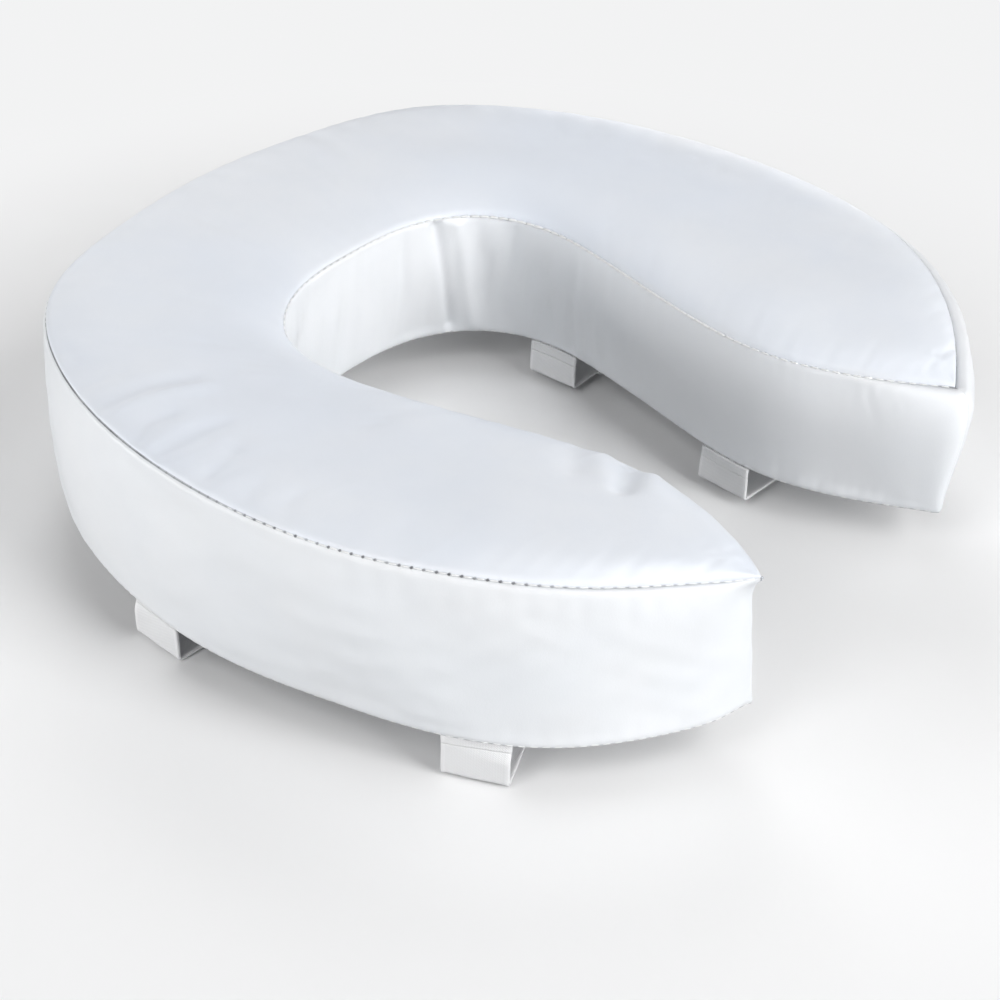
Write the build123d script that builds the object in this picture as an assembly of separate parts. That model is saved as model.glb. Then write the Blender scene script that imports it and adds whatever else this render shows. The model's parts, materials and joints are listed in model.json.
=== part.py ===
from build123d import *
import math
import os
from typing import Callable, NamedTuple

# Padded riser cushion for a toilet seat: a horseshoe of firm foam in a sewn
# vinyl cover, open at the front, held on the seat ring by four pairs of
# hook-and-loop straps that wrap under the ring.
# Frame: +Z up, mouth of the horseshoe towards -Y, back towards +Y. The origin
# is the middle of the flat base, on the plane of symmetry. Millimetres.

# ---------------------------------------------------------------- cushion
H_OUT_REAR = 80.0           # outer top seam above the base, at the back
H_OUT_ARM = 78.6            # outer top seam, three quarters along the arm
H_TIP = 67.2                # both top seams, at the tip of an arm
H_IN_REAR = 70.7            # inner top seam, at the back of the hole
H_IN_ARM = 65.2             # inner top seam, along the arm
CROWN = 8.5                 # rise of the top panel over the seams
VINYL = 0.9                 # thickness of the cover material
BELLY_OUT = 3.7             # belly of the outer band at mid height
BELLY_IN = 1.6              # belly of the inner band at mid height
TIP_CUT = 2.2               # depth of the blunt end where the two bands meet

FOAM_GAP = 0.25             # air between foam and cover
FOAM_TIP_GAP = 1.2          # foam stops this much short of the blunt end
FOAM_CROWN = CROWN - 0.4    # rise of the foam over its own edges

THREAD_R = 0.42             # radius of a row of stitches
THREAD_SIDES = 6            # long curves round a row of stitches
THREAD_AIR = 0.16           # air between a seam row and its band
THREAD_END = 1.0            # a seam row stops this much short of the blunt end
TIP_THREAD_AIR = 0.12       # air between a tip row and the blunt end
TIP_THREAD_LEVELS = (0.06, 0.3, 0.6, 0.96)  # heights of a tip row, of H_TIP

# Plan of the top seams, right half, from the back to the tip (x, y).
PLAN_OUT = [(0, 184.8), (64.2, 177.5), (122.2, 157.6), (168.6, 98.7),
            (189.0, 16.8), (182.5, -65.9), (144.9, -138.6), (82.9, -184.6)]
PLAN_IN = [(0, 89.3), (39.2, 85.7), (70.0, 66.1), (80.3, 38.0),
           (76.6, 2.6), (64.2, -45.3), (55.1, -106.6), (82.9, -184.6)]
# The base outline stands inside the top one by these amounts (back, arm, tip).
UNDER_OUT = (2.8, 3.2, -1.5)
UNDER_IN = (7.6, 5.2, 0.5)

# Levels of the curves between base and top seam, as fractions of the height.
LEVELS = (0.2, 0.5, 0.8)
# Profile of the crown: (fraction of the way from outer to inner seam, rise).
RISE = ((0.0, 0.0), (0.05, 0.42), (0.16, 0.78), (0.33, 0.96), (0.5, 1.0),
        (0.67, 0.96), (0.84, 0.78), (0.95, 0.42), (1.0, 0.0))
FULL_CROWN_W = 60.0         # the crown is lower where the panel is narrower
CROWN_POWER = 0.8           # how fast it falls off with that width

PLAN_POINTS = 241           # points sampled on each top seam
RAIL_POINTS = 41            # points along each long curve
TIP_CROWDING = 0.06         # how much the points close up towards the tips

# ---------------------------------------------------------------- straps
STRAP_W = 28.0              # width of a strap
STRAP_T = 1.4               # thickness of the strap webbing
STRAP_AIR = 0.15            # air between a strap and the edge of the base
ROOT_Z = -0.25              # top of the hanging length
DROP_IN = 16.0              # base plane to the top face of an inner tab
TAB_OUT = 78.0              # length of an outer tab, from its fold
TAB_CORNER = 5.0            # corner radius at the free end of a tab
FOLD_R = 1.0                # half of the open gap at the fold
PATCH_T = 1.1               # thickness of a hook or a loop patch
PATCH_L = 24.0              # its length
PATCH_W = 24.0              # its width
PATCH_CORNER = 2.0          # its corner radius
PATCH_END = 2.0             # free end of the tab to the patch
PATCH_AIR = 0.1             # air between the closed hook and loop faces
OVERLAP = PATCH_L + PATCH_END   # overlap of the two tabs of a pair
STITCH_W = 0.6              # width of a sewn row on a patch
STITCH_H = 0.35             # how far it stands proud of the webbing
STITCH_INSET = 1.5          # edge of the patch to the row
STITCH_CORNER = 1.5         # outer corner radius of the row
ROOT_SIDE_AIR = 0.6         # extra half width kept clear at a strap's root
ROOT_SEARCH = 90.0          # only base edge this near the start point counts

# Strap pairs of the right arm: start point (x, y) of the outer root, angle
# from outer root to overlap, angle from overlap to inner root. Angles are in
# degrees from -X towards +Y.
STRAPS = {"front": ((164.0, -116.0), 22.0, 6.0),
          "rear": ((187.0, 37.0), -5.0, 0.0)}


# ------------------------------------------------------------- the two bands
# Along a seam, w is 0 at the back and 1 at either tip. Up a band, f is 0 at
# the base and 1 at the top seam.
class Band(NamedTuple):
    points: list            # top seam: (x, y, outward normal x, y, w)
    under: tuple            # how far the base stands in (back, arm, tip)
    belly: float
    height: Callable        # height of the top seam at w


def ease(start, end, k):
    return start + (end - start) * k * k * (3 - 2 * k)


def ease_three(w, back, arm, tip):
    if w < 0.5:
        return ease(back, arm, w / 0.5)
    return ease(arm, tip, (w - 0.5) / 0.5)


def lerp(start, end, t):
    return tuple(a + t * (b - a) for a, b in zip(start, end))


def outer_height(w):
    if w < 0.35:
        return H_OUT_REAR
    if w < 0.75:
        return ease(H_OUT_REAR, H_OUT_ARM, (w - 0.35) / 0.4)
    k = (w - 0.75) / 0.25
    return H_OUT_ARM + (H_TIP - H_OUT_ARM) * k * k * (2 - k)


def inner_height(w):
    if w < 0.6:
        return ease(H_IN_REAR, H_IN_ARM, w / 0.6)
    return ease(H_IN_ARM, H_TIP, (w - 0.6) / 0.4)


def seam_points(right_half, sign):
    """Sample a top seam from the left tip round the back to the right tip."""
    left_half = [(-x, y) for x, y in reversed(right_half[1:])]
    seam = Spline(*[Vector(x, y, 0) for x, y in left_half + right_half])
    points = []
    for i in range(PLAN_POINTS):
        t = i / (PLAN_POINTS - 1)
        point, tangent = seam @ t, seam % t
        length = math.hypot(tangent.X, tangent.Y)
        points.append((point.X, point.Y, sign * tangent.Y / length,
                       -sign * tangent.X / length, abs(2 * t - 1)))
    return points


# The sign makes the normals point out of the cushion.
OUTER = Band(seam_points(PLAN_OUT, -1), UNDER_OUT, BELLY_OUT, outer_height)
INNER = Band(seam_points(PLAN_IN, 1), UNDER_IN, BELLY_IN, inner_height)


# ------------------------------------------------------------- long curves
def tip_inward():
    """Unit vector from the right tip back into the arm."""
    _, _, outer_nx, outer_ny, _ = OUTER.points[-1]
    _, _, inner_nx, inner_ny, _ = INNER.points[-1]
    x, y = -(outer_nx + inner_nx), -(outer_ny + inner_ny)
    length = math.hypot(x, y)
    return x / length, y / length


TIP_INWARD = tip_inward()


def tip_point(f):
    """Where the end tangents of the two bands meet at the right tip."""
    lines = []
    for band in (OUTER, INNER):
        x, y, nx, ny, _ = band.points[-1]
        shift = band.under[2] * (1 - f)
        lines.append((x - nx * shift, y - ny * shift, -ny, nx))
    (x1, y1, dx1, dy1), (x2, y2, dx2, dy2) = lines
    t = ((x2 - x1) * dy2 - (y2 - y1) * dx2) / (dx1 * dy2 - dy1 * dx2)
    return x1 + dx1 * t, y1 + dy1 * t


def tip_inside(f, depth):
    """Point at a depth inside the right tip."""
    x, y = tip_point(f)
    return x + TIP_INWARD[0] * depth, y + TIP_INWARD[1] * depth


def band_plan(band, inset, f):
    """Plan of a band at level f, as (x, y, w)."""
    belly = band.belly * 4 * f * (1 - f)
    plan = []
    for x, y, nx, ny, w in band.points:
        # the belly dies out at the tips
        fade = 1.0 if w < 0.8 else max(0.0, 1 - ((w - 0.8) / 0.2) ** 2)
        out = belly * fade - inset - (1 - f) * ease_three(w, *band.under)
        plan.append((x + nx * out, y + ny * out, w))
    return plan


def trim(curve, f, cut):
    """Cut both ends of a curve by the upright plane across the arm's tip."""
    plane_x, plane_y = tip_inside(f, cut)
    # each pass cuts the start and reverses the curve: left end, then right
    for side in (-1, 1):
        depths = [(side * x - plane_x) * TIP_INWARD[0]
                  + (y - plane_y) * TIP_INWARD[1] for x, y, _ in curve]
        # a curve that starts inside the plane is extended back to it
        first = max(1, next(i for i, depth in enumerate(depths) if depth >= 0))
        t = depths[first - 1] / (depths[first - 1] - depths[first])
        end = lerp(curve[first - 1], curve[first], t)
        curve = ([end] + curve[first:])[::-1]
    return curve


def resample(curve):
    lengths = [0.0]
    for a, b in zip(curve, curve[1:]):
        lengths.append(lengths[-1] + math.hypot(b[0] - a[0], b[1] - a[1]))
    points, k = [], 0
    for i in range(RAIL_POINTS):
        fraction = i / (RAIL_POINTS - 1)
        fraction -= TIP_CROWDING * math.sin(2 * math.pi * fraction)
        target = lengths[-1] * fraction
        while k < len(lengths) - 2 and lengths[k + 1] < target:
            k += 1
        t = (target - lengths[k]) / (lengths[k + 1] - lengths[k])
        points.append(lerp(curve[k], curve[k + 1], t))
    return points


def rail(band, inset, f, z=None, dz=0.0, cut=TIP_CUT):
    """Long curve on a band at level f; z replaces the height it works out."""
    plan = resample(trim(band_plan(band, inset, f), f, cut))
    return [(x, y, (f * band.height(w) if z is None else z) + dz)
            for x, y, w in plan]


def crown_rails(inset, crown, dz=0.0, cut=TIP_CUT):
    """Curves over the crowned top, from the outer seam to the inner one."""
    outer = rail(OUTER, inset, 1.0, dz=dz, cut=cut)
    inner = rail(INNER, inset, 1.0, dz=dz, cut=cut)
    rails = []
    for across, rise in RISE:
        curve = []
        for a, b in zip(outer, inner):
            width = math.hypot(a[0] - b[0], a[1] - b[1])
            share = min(1.0, width / FULL_CROWN_W) ** CROWN_POWER
            x, y, z = lerp(a, b, across)
            curve.append((x, y, z + crown * rise * share))
        rails.append(curve)
    return rails


# ------------------------------------------------------------ solids, files
def tube(rails, flat=()):
    """Closed solid between long curves taken in order round the section.
    flat holds the strips (by index of their first curve) that are planes."""
    edges = [Spline(*[Vector(*p) for p in curve]) for curve in rails]
    faces = []
    n = len(rails)
    for i in range(n):
        j = (i + 1) % n
        if i in flat:
            start = Line(Vector(*rails[i][0]), Vector(*rails[j][0]))
            end = Line(Vector(*rails[i][-1]), Vector(*rails[j][-1]))
            faces.append(Face(Wire([edges[i], end, edges[j], start])))
        else:
            faces.append(Face.make_surface_from_curves(edges[i], edges[j]))
    # end caps: strips between rungs that join opposite curves; an odd number
    # of curves leaves a triangle
    for k in (0, -1):
        corners = [Vector(*curve[k]) for curve in rails]
        for i in range((n - 1) // 2):
            a, b = corners[i], corners[i + 1]
            c, d = corners[n - 2 - i], corners[n - 1 - i]
            if n - 2 - i == i + 1:
                faces.append(Face(Wire.make_polygon([a, b, d], close=True)))
            else:
                faces.append(Face.make_surface_from_curves(
                    Edge.make_line(a, d), Edge.make_line(b, c)))
    return Solid(Shell(faces))


def save(shape, name):
    export_step(shape, "parts/" + name + ".step")


def save_both(shape, name):
    """Save the right-hand piece and its mirror image."""
    save(shape, name.replace("SIDE", "right"))
    save(mirror(shape, about=Plane.YZ), name.replace("SIDE", "left"))


# --------------------------------------------------------------- the cushion
def base_panel():
    return tube([rail(OUTER, 0, 0.0, z=0.0), rail(INNER, 0, 0.0, z=0.0),
                 rail(INNER, 0, 0.0, z=VINYL), rail(OUTER, 0, 0.0, z=VINYL)],
                flat=(0, 2))


def upright_band(band):
    """Upright band of the cover, standing on the base panel."""
    skins = []
    for inset in (0.0, VINYL):
        skins.append([rail(band, inset, 0.0, z=VINYL)]
                     + [rail(band, inset, f) for f in LEVELS + (1.0,)])
    outside, inside = skins
    return tube(outside + inside[::-1])


def top_panel():
    upper = crown_rails(0.0, CROWN)
    lower = crown_rails(VINYL, CROWN, dz=-VINYL)
    # the lower skin comes up to seam height at both edges
    lower[0] = rail(OUTER, VINYL, 1.0)
    lower[-1] = rail(INNER, VINYL, 1.0)
    return tube(upper + lower[::-1])


def foam_core():
    inset = VINYL + FOAM_GAP
    cut = TIP_CUT + FOAM_TIP_GAP
    rails = [rail(OUTER, inset, 0.0, z=inset, cut=cut)]
    rails += [rail(OUTER, inset, f, cut=cut) for f in LEVELS]
    rails += crown_rails(inset, FOAM_CROWN, dz=-inset, cut=cut)
    rails += [rail(INNER, inset, f, cut=cut) for f in reversed(LEVELS)]
    rails += [rail(INNER, inset, 0.0, z=inset, cut=cut)]
    return tube(rails)


def thread_circle():
    angles = [2 * math.pi * k / THREAD_SIDES for k in range(THREAD_SIDES)]
    return [(THREAD_R * math.cos(a), THREAD_R * math.sin(a)) for a in angles]


def seam_thread(band, f, z=None):
    """Row of stitches just outside a band, along one of its edges."""
    return tube([rail(band, -(THREAD_R + THREAD_AIR) - out, f, z=z, dz=up,
                      cut=TIP_CUT + THREAD_END)
                 for out, up in thread_circle()])


def tip_thread():
    """Row of stitches up the blunt end of the right arm."""
    depth = TIP_CUT - THREAD_R - TIP_THREAD_AIR
    path = [(*tip_inside(f, depth), f * H_TIP) for f in TIP_THREAD_LEVELS]
    return tube([[(x + dx, y + dy, z) for x, y, z in path]
                 for dx, dy in thread_circle()])


# --------------------------------------------------------------- the straps
class Strap(NamedTuple):
    root: tuple             # plan point of the hanging length
    out: tuple              # plan direction away from the cushion
    tab_z: float            # mid height of the tab
    tab_length: float       # from the fold to the free end

    def frame(self):
        """x points away from the cushion, so the tab runs towards -x."""
        return Plane(origin=(*self.root, 0), x_dir=(*self.out, 0), z_dir=(0, 0, 1))


def clear_root(band, start, out):
    """Slide start along out until a strap there clears the base outline."""
    outline = rail(band, 0, 0.0, z=0.0) + trim(band_plan(band, 0.0, 0.0), 0.0, TIP_CUT)
    reaches = []
    for x, y, _ in outline:
        dx, dy = x - start[0], y - start[1]
        along = dx * out[0] + dy * out[1]
        sideways = dy * out[0] - dx * out[1]
        if (x >= 0 and abs(sideways) <= STRAP_W / 2 + ROOT_SIDE_AIR
                and abs(along) < ROOT_SEARCH):
            reaches.append(along)
    slide = max(reaches) + STRAP_AIR + STRAP_T / 2
    return start[0] + out[0] * slide, start[1] + out[1] * slide


def strap_pair(start, outer_angle, inner_angle):
    """The outer and inner strap of one pair on the right arm."""
    outer_angle, inner_angle = math.radians(outer_angle), math.radians(inner_angle)
    outer_out = (math.cos(outer_angle), -math.sin(outer_angle))
    inner_out = (-math.cos(inner_angle), math.sin(inner_angle))
    outer_root = clear_root(OUTER, start, outer_out)
    reach = TAB_OUT - OVERLAP / 2
    middle = (outer_root[0] - outer_out[0] * reach,
              outer_root[1] - outer_out[1] * reach)
    inner_root = clear_root(INNER, middle, inner_out)
    span = math.hypot(inner_root[0] - middle[0], inner_root[1] - middle[1])
    inner_z = -DROP_IN - STRAP_T / 2
    outer_z = inner_z - STRAP_T - 2 * PATCH_T - PATCH_AIR
    return {"outer": Strap(outer_root, outer_out, outer_z, TAB_OUT),
            "inner": Strap(inner_root, inner_out, inner_z, span + OVERLAP / 2)}


def strap_drop(strap):
    """Hanging length, from just under the base to just above the fold."""
    bottom = strap.tab_z + FOLD_R
    return (strap.frame() * Pos(0, 0, (ROOT_Z + bottom) / 2)
            * Box(STRAP_T, STRAP_W, ROOT_Z - bottom))


def strap_tab(strap):
    """Tab under the ring, with the corners of its free end rounded."""
    outline = Rectangle(strap.tab_length - FOLD_R, STRAP_W)
    outline = fillet(outline.vertices().sort_by(Axis.X)[:2], TAB_CORNER)
    x = -(strap.tab_length + FOLD_R) / 2
    return (strap.frame() * Pos(x, 0, strap.tab_z - STRAP_T / 2)
            * extrude(outline, STRAP_T))


def at_patch(strap, z, sketch, thickness):
    """Plate centred on the patch position, with its underside at z."""
    x = -strap.tab_length + PATCH_END + PATCH_L / 2
    return strap.frame() * Pos(x, 0, z) * extrude(sketch, thickness)


def patch_outline():
    return RectangleRounded(PATCH_L, PATCH_W, PATCH_CORNER)


def stitch_outline():
    length, width = PATCH_L - 2 * STITCH_INSET, PATCH_W - 2 * STITCH_INSET
    return (RectangleRounded(length, width, STITCH_CORNER)
            - RectangleRounded(length - 2 * STITCH_W, width - 2 * STITCH_W,
                               STITCH_CORNER - STITCH_W))


def save_strap(pair, which, strap):
    save_both(strap_drop(strap), f"strap_{pair}_SIDE_{which}_drop")
    save_both(strap_tab(strap), f"strap_{pair}_SIDE_{which}_tab")
    top, bottom = strap.tab_z + STRAP_T / 2, strap.tab_z - STRAP_T / 2
    # the loop patch lies on the outer tab, facing the hook patch under the
    # inner one; the sewn row shows on the other face of each tab
    if which == "outer":
        patch, patch_z, stitch_z = "loop_patch", top, bottom - STITCH_H
    else:
        patch, patch_z, stitch_z = "hook_patch", bottom - PATCH_T, top
    save_both(at_patch(strap, patch_z, patch_outline(), PATCH_T), f"{patch}_{pair}_SIDE")
    save_both(at_patch(strap, stitch_z, stitch_outline(), STITCH_H),
              f"patch_stitching_{pair}_SIDE_{which}")


def main():
    os.makedirs("parts", exist_ok=True)
    save(base_panel(), "base_panel")
    save(top_panel(), "top_panel")
    save(foam_core(), "foam_core")
    for name, band in (("outer", OUTER), ("inner", INNER)):
        save(upright_band(band), name + "_band")
        save(seam_thread(band, 1.0), "seam_thread_top_" + name)
        save(seam_thread(band, 0.0, z=VINYL), "seam_thread_base_" + name)
    save_both(tip_thread(), "seam_thread_tip_SIDE")
    for pair, layout in STRAPS.items():
        for which, strap in strap_pair(*layout).items():
            save_strap(pair, which, strap)


if __name__ == "__main__":
    main()
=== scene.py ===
# Padded horseshoe riser cushion for a toilet seat, with eight webbing straps.
# It lies flat on z = 0 with its rear towards +y, its two arms running to tips
# at -y, and its left arm at -x. Lengths are in millimetres unless a name or
# comment says otherwise; meshes are written in metres.
import json
import math
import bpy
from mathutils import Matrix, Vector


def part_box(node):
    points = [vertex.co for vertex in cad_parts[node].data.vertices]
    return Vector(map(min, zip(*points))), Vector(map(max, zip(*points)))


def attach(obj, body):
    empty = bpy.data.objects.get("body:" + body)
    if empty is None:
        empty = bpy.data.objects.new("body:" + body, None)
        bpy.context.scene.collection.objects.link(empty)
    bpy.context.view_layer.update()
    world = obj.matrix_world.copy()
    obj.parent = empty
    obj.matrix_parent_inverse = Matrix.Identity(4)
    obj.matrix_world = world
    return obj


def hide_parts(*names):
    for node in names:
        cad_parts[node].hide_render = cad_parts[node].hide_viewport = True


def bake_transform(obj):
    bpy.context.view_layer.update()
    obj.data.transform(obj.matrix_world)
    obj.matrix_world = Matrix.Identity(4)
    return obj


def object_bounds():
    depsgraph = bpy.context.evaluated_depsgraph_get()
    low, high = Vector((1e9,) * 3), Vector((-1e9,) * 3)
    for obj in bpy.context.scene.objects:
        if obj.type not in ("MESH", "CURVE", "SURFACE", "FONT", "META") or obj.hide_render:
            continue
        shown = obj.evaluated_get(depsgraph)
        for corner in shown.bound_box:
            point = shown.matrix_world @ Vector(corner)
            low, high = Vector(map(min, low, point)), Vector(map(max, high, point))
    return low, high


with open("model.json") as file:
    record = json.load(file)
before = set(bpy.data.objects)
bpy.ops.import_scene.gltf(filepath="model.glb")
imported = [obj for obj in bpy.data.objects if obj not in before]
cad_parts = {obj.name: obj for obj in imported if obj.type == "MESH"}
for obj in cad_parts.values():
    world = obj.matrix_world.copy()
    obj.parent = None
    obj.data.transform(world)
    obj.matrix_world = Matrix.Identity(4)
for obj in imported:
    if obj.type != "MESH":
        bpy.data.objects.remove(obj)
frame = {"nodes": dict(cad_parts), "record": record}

from types import SimpleNamespace

import bmesh
import bpy
import numpy as np
from mathutils import Matrix, Vector

CAD_LO, CAD_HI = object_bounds()
MM = 0.001
SCENE = bpy.context.scene

# ------------------------------------------------------------------- design
# seam heights at the rear, along the arms and at the tips
OUTER_REAR_Z, OUTER_ARM_Z = 80.0, 78.6
INNER_REAR_Z, INNER_ARM_Z = 70.7, 65.2
TIP_Z = 66.4
CROWN = 8.5                 # rise of the top panel above its seams
# half outlines of the top seams in plan, (x, y) from the rear to the right tip
OUTER_PLAN = [(0, 184.8), (64.2, 177.5), (122.2, 157.6), (168.6, 98.7),
              (189.0, 16.8), (182.5, -65.9), (144.9, -138.6), (82.9, -184.6)]
INNER_PLAN = [(0, 89.3), (39.2, 85.7), (70.0, 66.1), (80.3, 38.0),
              (76.6, 2.6), (64.2, -45.3), (55.1, -106.6), (82.9, -184.6)]
ALONG = 641                 # samples along the horseshoe, tip to tip
TIP_COLUMNS = 12            # extra columns round each tip
COLUMNS = ALONG + 2 * TIP_COLUMNS
BODY = slice(TIP_COLUMNS, -TIP_COLUMNS)
CLOTH_T = 0.9
GROOVE = 0.62               # how far a seam is pulled in
PITCH = 4.7                 # stitch length
STRAP_T, STRAP_W = 1.4, 28.0
FOLD_R = 2.0                # bend radius of a strap's fold
RNG = np.random.default_rng(20)


# ------------------------------------------------------------ curve helpers
def smooth(start, end, x):
    t = np.clip((np.asarray(x, float) - start) / (end - start), 0, 1)
    return t * t * (3 - 2 * t)


def ease(a, b, start, end, x):
    """Smooth change from a to b while x runs from start to end."""
    return a + (b - a) * smooth(start, end, x)


def bell(x, width, centre=0.0, power=2):
    return np.exp(-((x - centre) / width) ** power)


def lookup(x, table, column=1):
    """Linear interpolation in a table whose first column is the place."""
    return np.interp(x, [row[0] for row in table], [row[column] for row in table])


def interp_columns(x, places, columns):
    return np.stack([np.interp(x, places, column) for column in columns.T], 1)


def arc_length(points):
    """Running length along a plane curve."""
    return np.r_[0, np.cumsum(np.hypot(*np.diff(points, axis=0).T))]


def spacing(count):
    """Shares along the horseshoe, 0 at the left tip and 1 at the right."""
    u = np.linspace(0, 1, count)
    return u - 0.06 * np.sin(2 * np.pi * u)


def row_shares(count, edge):
    """Shares across a panel, closer together beside the seams."""
    u = np.linspace(-1, 1, count)
    v = np.sign(u) * (np.abs(u) * (1 - edge) + edge * np.sin(np.abs(u) * math.pi / 2))
    return (v + 1) / 2


# ------------------------------------------------------------ plan outlines
def natural_spline(half, samples=1601):
    """Natural cubic spline through a half outline and its mirror image, left
    tip to right tip: points, unit tangents and tipward (0 rear, 1 tips)."""
    knots = np.array([(-x, y) for x, y in reversed(half[1:])] + list(half), float)
    place = arc_length(knots)
    place /= place[-1]
    count = len(knots)
    step = np.diff(place)
    system = np.zeros((count, count))
    system[0, 0] = system[-1, -1] = 1
    target = np.zeros((count, 2))
    for i in range(1, count - 1):
        system[i, i - 1:i + 2] = step[i - 1], 2 * (step[i - 1] + step[i]), step[i]
        target[i] = 6 * ((knots[i + 1] - knots[i]) / step[i]
                         - (knots[i] - knots[i - 1]) / step[i - 1])
    bend = np.linalg.solve(system, target)
    u = np.linspace(0, 1, samples)
    k = np.clip(np.searchsorted(place, u, "right") - 1, 0, count - 2)
    left, right = (place[k + 1] - u)[:, None], (u - place[k])[:, None]
    span = step[k][:, None]
    points = (bend[k] * left ** 3 + bend[k + 1] * right ** 3) / (6 * span) \
        + (knots[k] / span - bend[k] * span / 6) * left \
        + (knots[k + 1] / span - bend[k + 1] * span / 6) * right
    tangents = (-bend[k] * left ** 2 + bend[k + 1] * right ** 2) / (2 * span) \
        - (knots[k] / span - bend[k] * span / 6) \
        + (knots[k + 1] / span - bend[k + 1] * span / 6)
    tangents /= np.linalg.norm(tangents, axis=1)[:, None]
    return points, tangents, np.abs(2 * u - 1)


def outer_height(tipward):
    fall = np.clip((tipward - 0.75) / 0.25, 0, 1)
    return np.where(tipward < 0.75,
                    ease(OUTER_REAR_Z, OUTER_ARM_Z, 0.35, 0.75, tipward),
                    OUTER_ARM_Z + (TIP_Z - OUTER_ARM_Z) * fall * fall * (2 - fall))


def inner_height(tipward):
    return np.where(tipward < 0.6, ease(INNER_REAR_Z, INNER_ARM_Z, 0, 0.6, tipward),
                    ease(INNER_ARM_Z, TIP_Z, 0.6, 1, tipward))


def plan_side(half, turn, height, bulge, undercut):
    """One side of the plan. turn is +1 or -1 for which way its normals face;
    undercut is how far the base stands in at the rear, arms and tips."""
    points, tangents, tipward = natural_spline(half)
    normals = np.stack([-turn * tangents[:, 1], turn * tangents[:, 0]], 1)
    return SimpleNamespace(points=points, normals=normals, tipward=tipward,
                           height=height, bulge=bulge, undercut=undercut)


OUTER = plan_side(OUTER_PLAN, 1, outer_height, bulge=3.7, undercut=(2.8, 3.2, -1.5))
INNER = plan_side(INNER_PLAN, -1, inner_height, bulge=1.6, undercut=(7.6, 5.2, 0.5))
# the CAD's own seam sets the size: fit the plan to the top panel's box
panel_lo, panel_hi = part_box("top_panel")
fit = np.array([(panel_hi[i] - panel_lo[i]) / MM
                / (OUTER.points[:, i].max() - OUTER.points[:, i].min()) for i in (0, 1)])
fit = np.where(abs(fit - 1) < 0.02, fit, 1)
OUTER.points = OUTER.points * fit
INNER.points = INNER.points * fit

# plan direction from the right tip into its arm
TIP_AXIS = -(OUTER.normals[-1] + INNER.normals[-1])
TIP_AXIS /= np.linalg.norm(TIP_AXIS)


def tip_point(share):
    """Where the two bands' lines cross at the right tip, at a height share."""
    n, m = OUTER.normals[-1], INNER.normals[-1]
    a = OUTER.points[-1] - n * OUTER.undercut[2] * (1 - share)
    b = INNER.points[-1] - m * INNER.undercut[2] * (1 - share)
    d1, d2 = np.array([-n[1], n[0]]), np.array([-m[1], m[0]])
    det = d1[0] * d2[1] - d1[1] * d2[0]
    return a + d1 * (((b[0] - a[0]) * d2[1] - (b[1] - a[1]) * d2[0]) / det)


def belly(side, share, tipward, on_right):
    """How far a band stands out at a height share, along its length."""
    even = side.bulge * 4 * share * (1 - share)
    # towards the tips the fill presses out under the top seam instead
    overhang = (share ** 1.5) * ((1 - share) ** 0.34) / 0.425
    end = np.where(on_right, 8.2, 0.4) * overhang
    if side is OUTER:
        arm = np.where(on_right, 9.2, 3.6) * overhang
        end = ease(arm, end, 0.955, 1.0, tipward)
        near_tip = smooth(0.66, 0.90, tipward)
    else:
        even = even * np.where(on_right, 1 - 0.85 * smooth(0.12, 0.3, tipward), 1.0)
        near_tip = smooth(0.83, 1.0, tipward)
    return even * (1 - near_tip) + end * near_tip


def trim_tips(rows, tip):
    """Cut rows of (x, y, tipward, normal x, normal y) off beyond both tips."""
    for sign in (1, -1):
        depth = (rows[:, :2] - tip * (sign, 1)) @ (TIP_AXIS * (sign, 1))
        last = len(rows) - 1
        while depth[last] < 0:
            last -= 1
        if last < len(rows) - 1:
            t = depth[last] / (depth[last] - depth[last + 1])
            end = rows[last] + (rows[last + 1] - rows[last]) * t
            end[3:] = rows[last + 1, 3:]
            rows = np.vstack([rows[:last + 1], end])
        rows = rows[::-1]
    return rows


def tip_arc(start, normal, bulge, tip, sign, count):
    """Points and normals that close a level curve round one tip."""
    axis = np.array([-sign * TIP_AXIS[0], -TIP_AXIS[1]])
    nose = tip * (sign, 1) - axis * 0.12
    nose = nose + (start - nose) * 0.05
    angle = math.atan2(normal[1], normal[0])
    turn = (math.atan2(axis[1], axis[0]) - angle + math.pi) % (2 * math.pi) - math.pi
    t = np.arange(1, count + 1) / count
    theta = angle + turn * t
    outward = np.stack([np.cos(theta), np.sin(theta)], 1)
    return start + (nose - start) * t[:, None] + outward * bulge, outward


def level_curve(side, share, inset=0.0, cut=0.5, count=ALONG, arcs=TIP_COLUMNS):
    """Long curve at a height share of a band, from the left tip round the
    rear to the right tip: positions (n, 3), outward plan normals (n, 2) and
    length along it. An inset curve has no belly."""
    rear, arm, end = side.undercut
    undercut = np.where(side.tipward < 0.5, ease(rear, arm, 0, 0.5, side.tipward),
                        ease(arm, end, 0.5, 1, side.tipward))
    plan = side.points - side.normals * (inset + (1 - share) * undercut)[:, None]
    tip = tip_point(share)
    rows = trim_tips(np.column_stack([plan, side.tipward, side.normals]), tip + TIP_AXIS * cut)
    length = arc_length(rows[:, :2])
    place = spacing(count)
    rows = interp_columns(length[-1] * place, length, rows)
    flat, tipward, normals = rows[:, :2], rows[:, 2], rows[:, 3:]
    normals /= np.linalg.norm(normals, axis=1)[:, None]
    bulge = belly(side, share, tipward, place > 0.5) if inset == 0 else 0 * tipward
    points = flat + normals * bulge[:, None]
    if arcs:
        (left, left_n), (right, right_n) = (
            tip_arc(flat[i], normals[i], bulge[i], tip, sign, arcs)
            for i, sign in ((0, -1), (-1, 1)))
        points = np.vstack([left[::-1], points, right])
        normals = np.vstack([left_n[::-1], normals, right_n])
        tipward = np.r_[np.full(arcs, tipward[0]), tipward, np.full(arcs, tipward[-1])]
    return np.column_stack([points, share * side.height(tipward)]), normals, arc_length(points)


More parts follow.
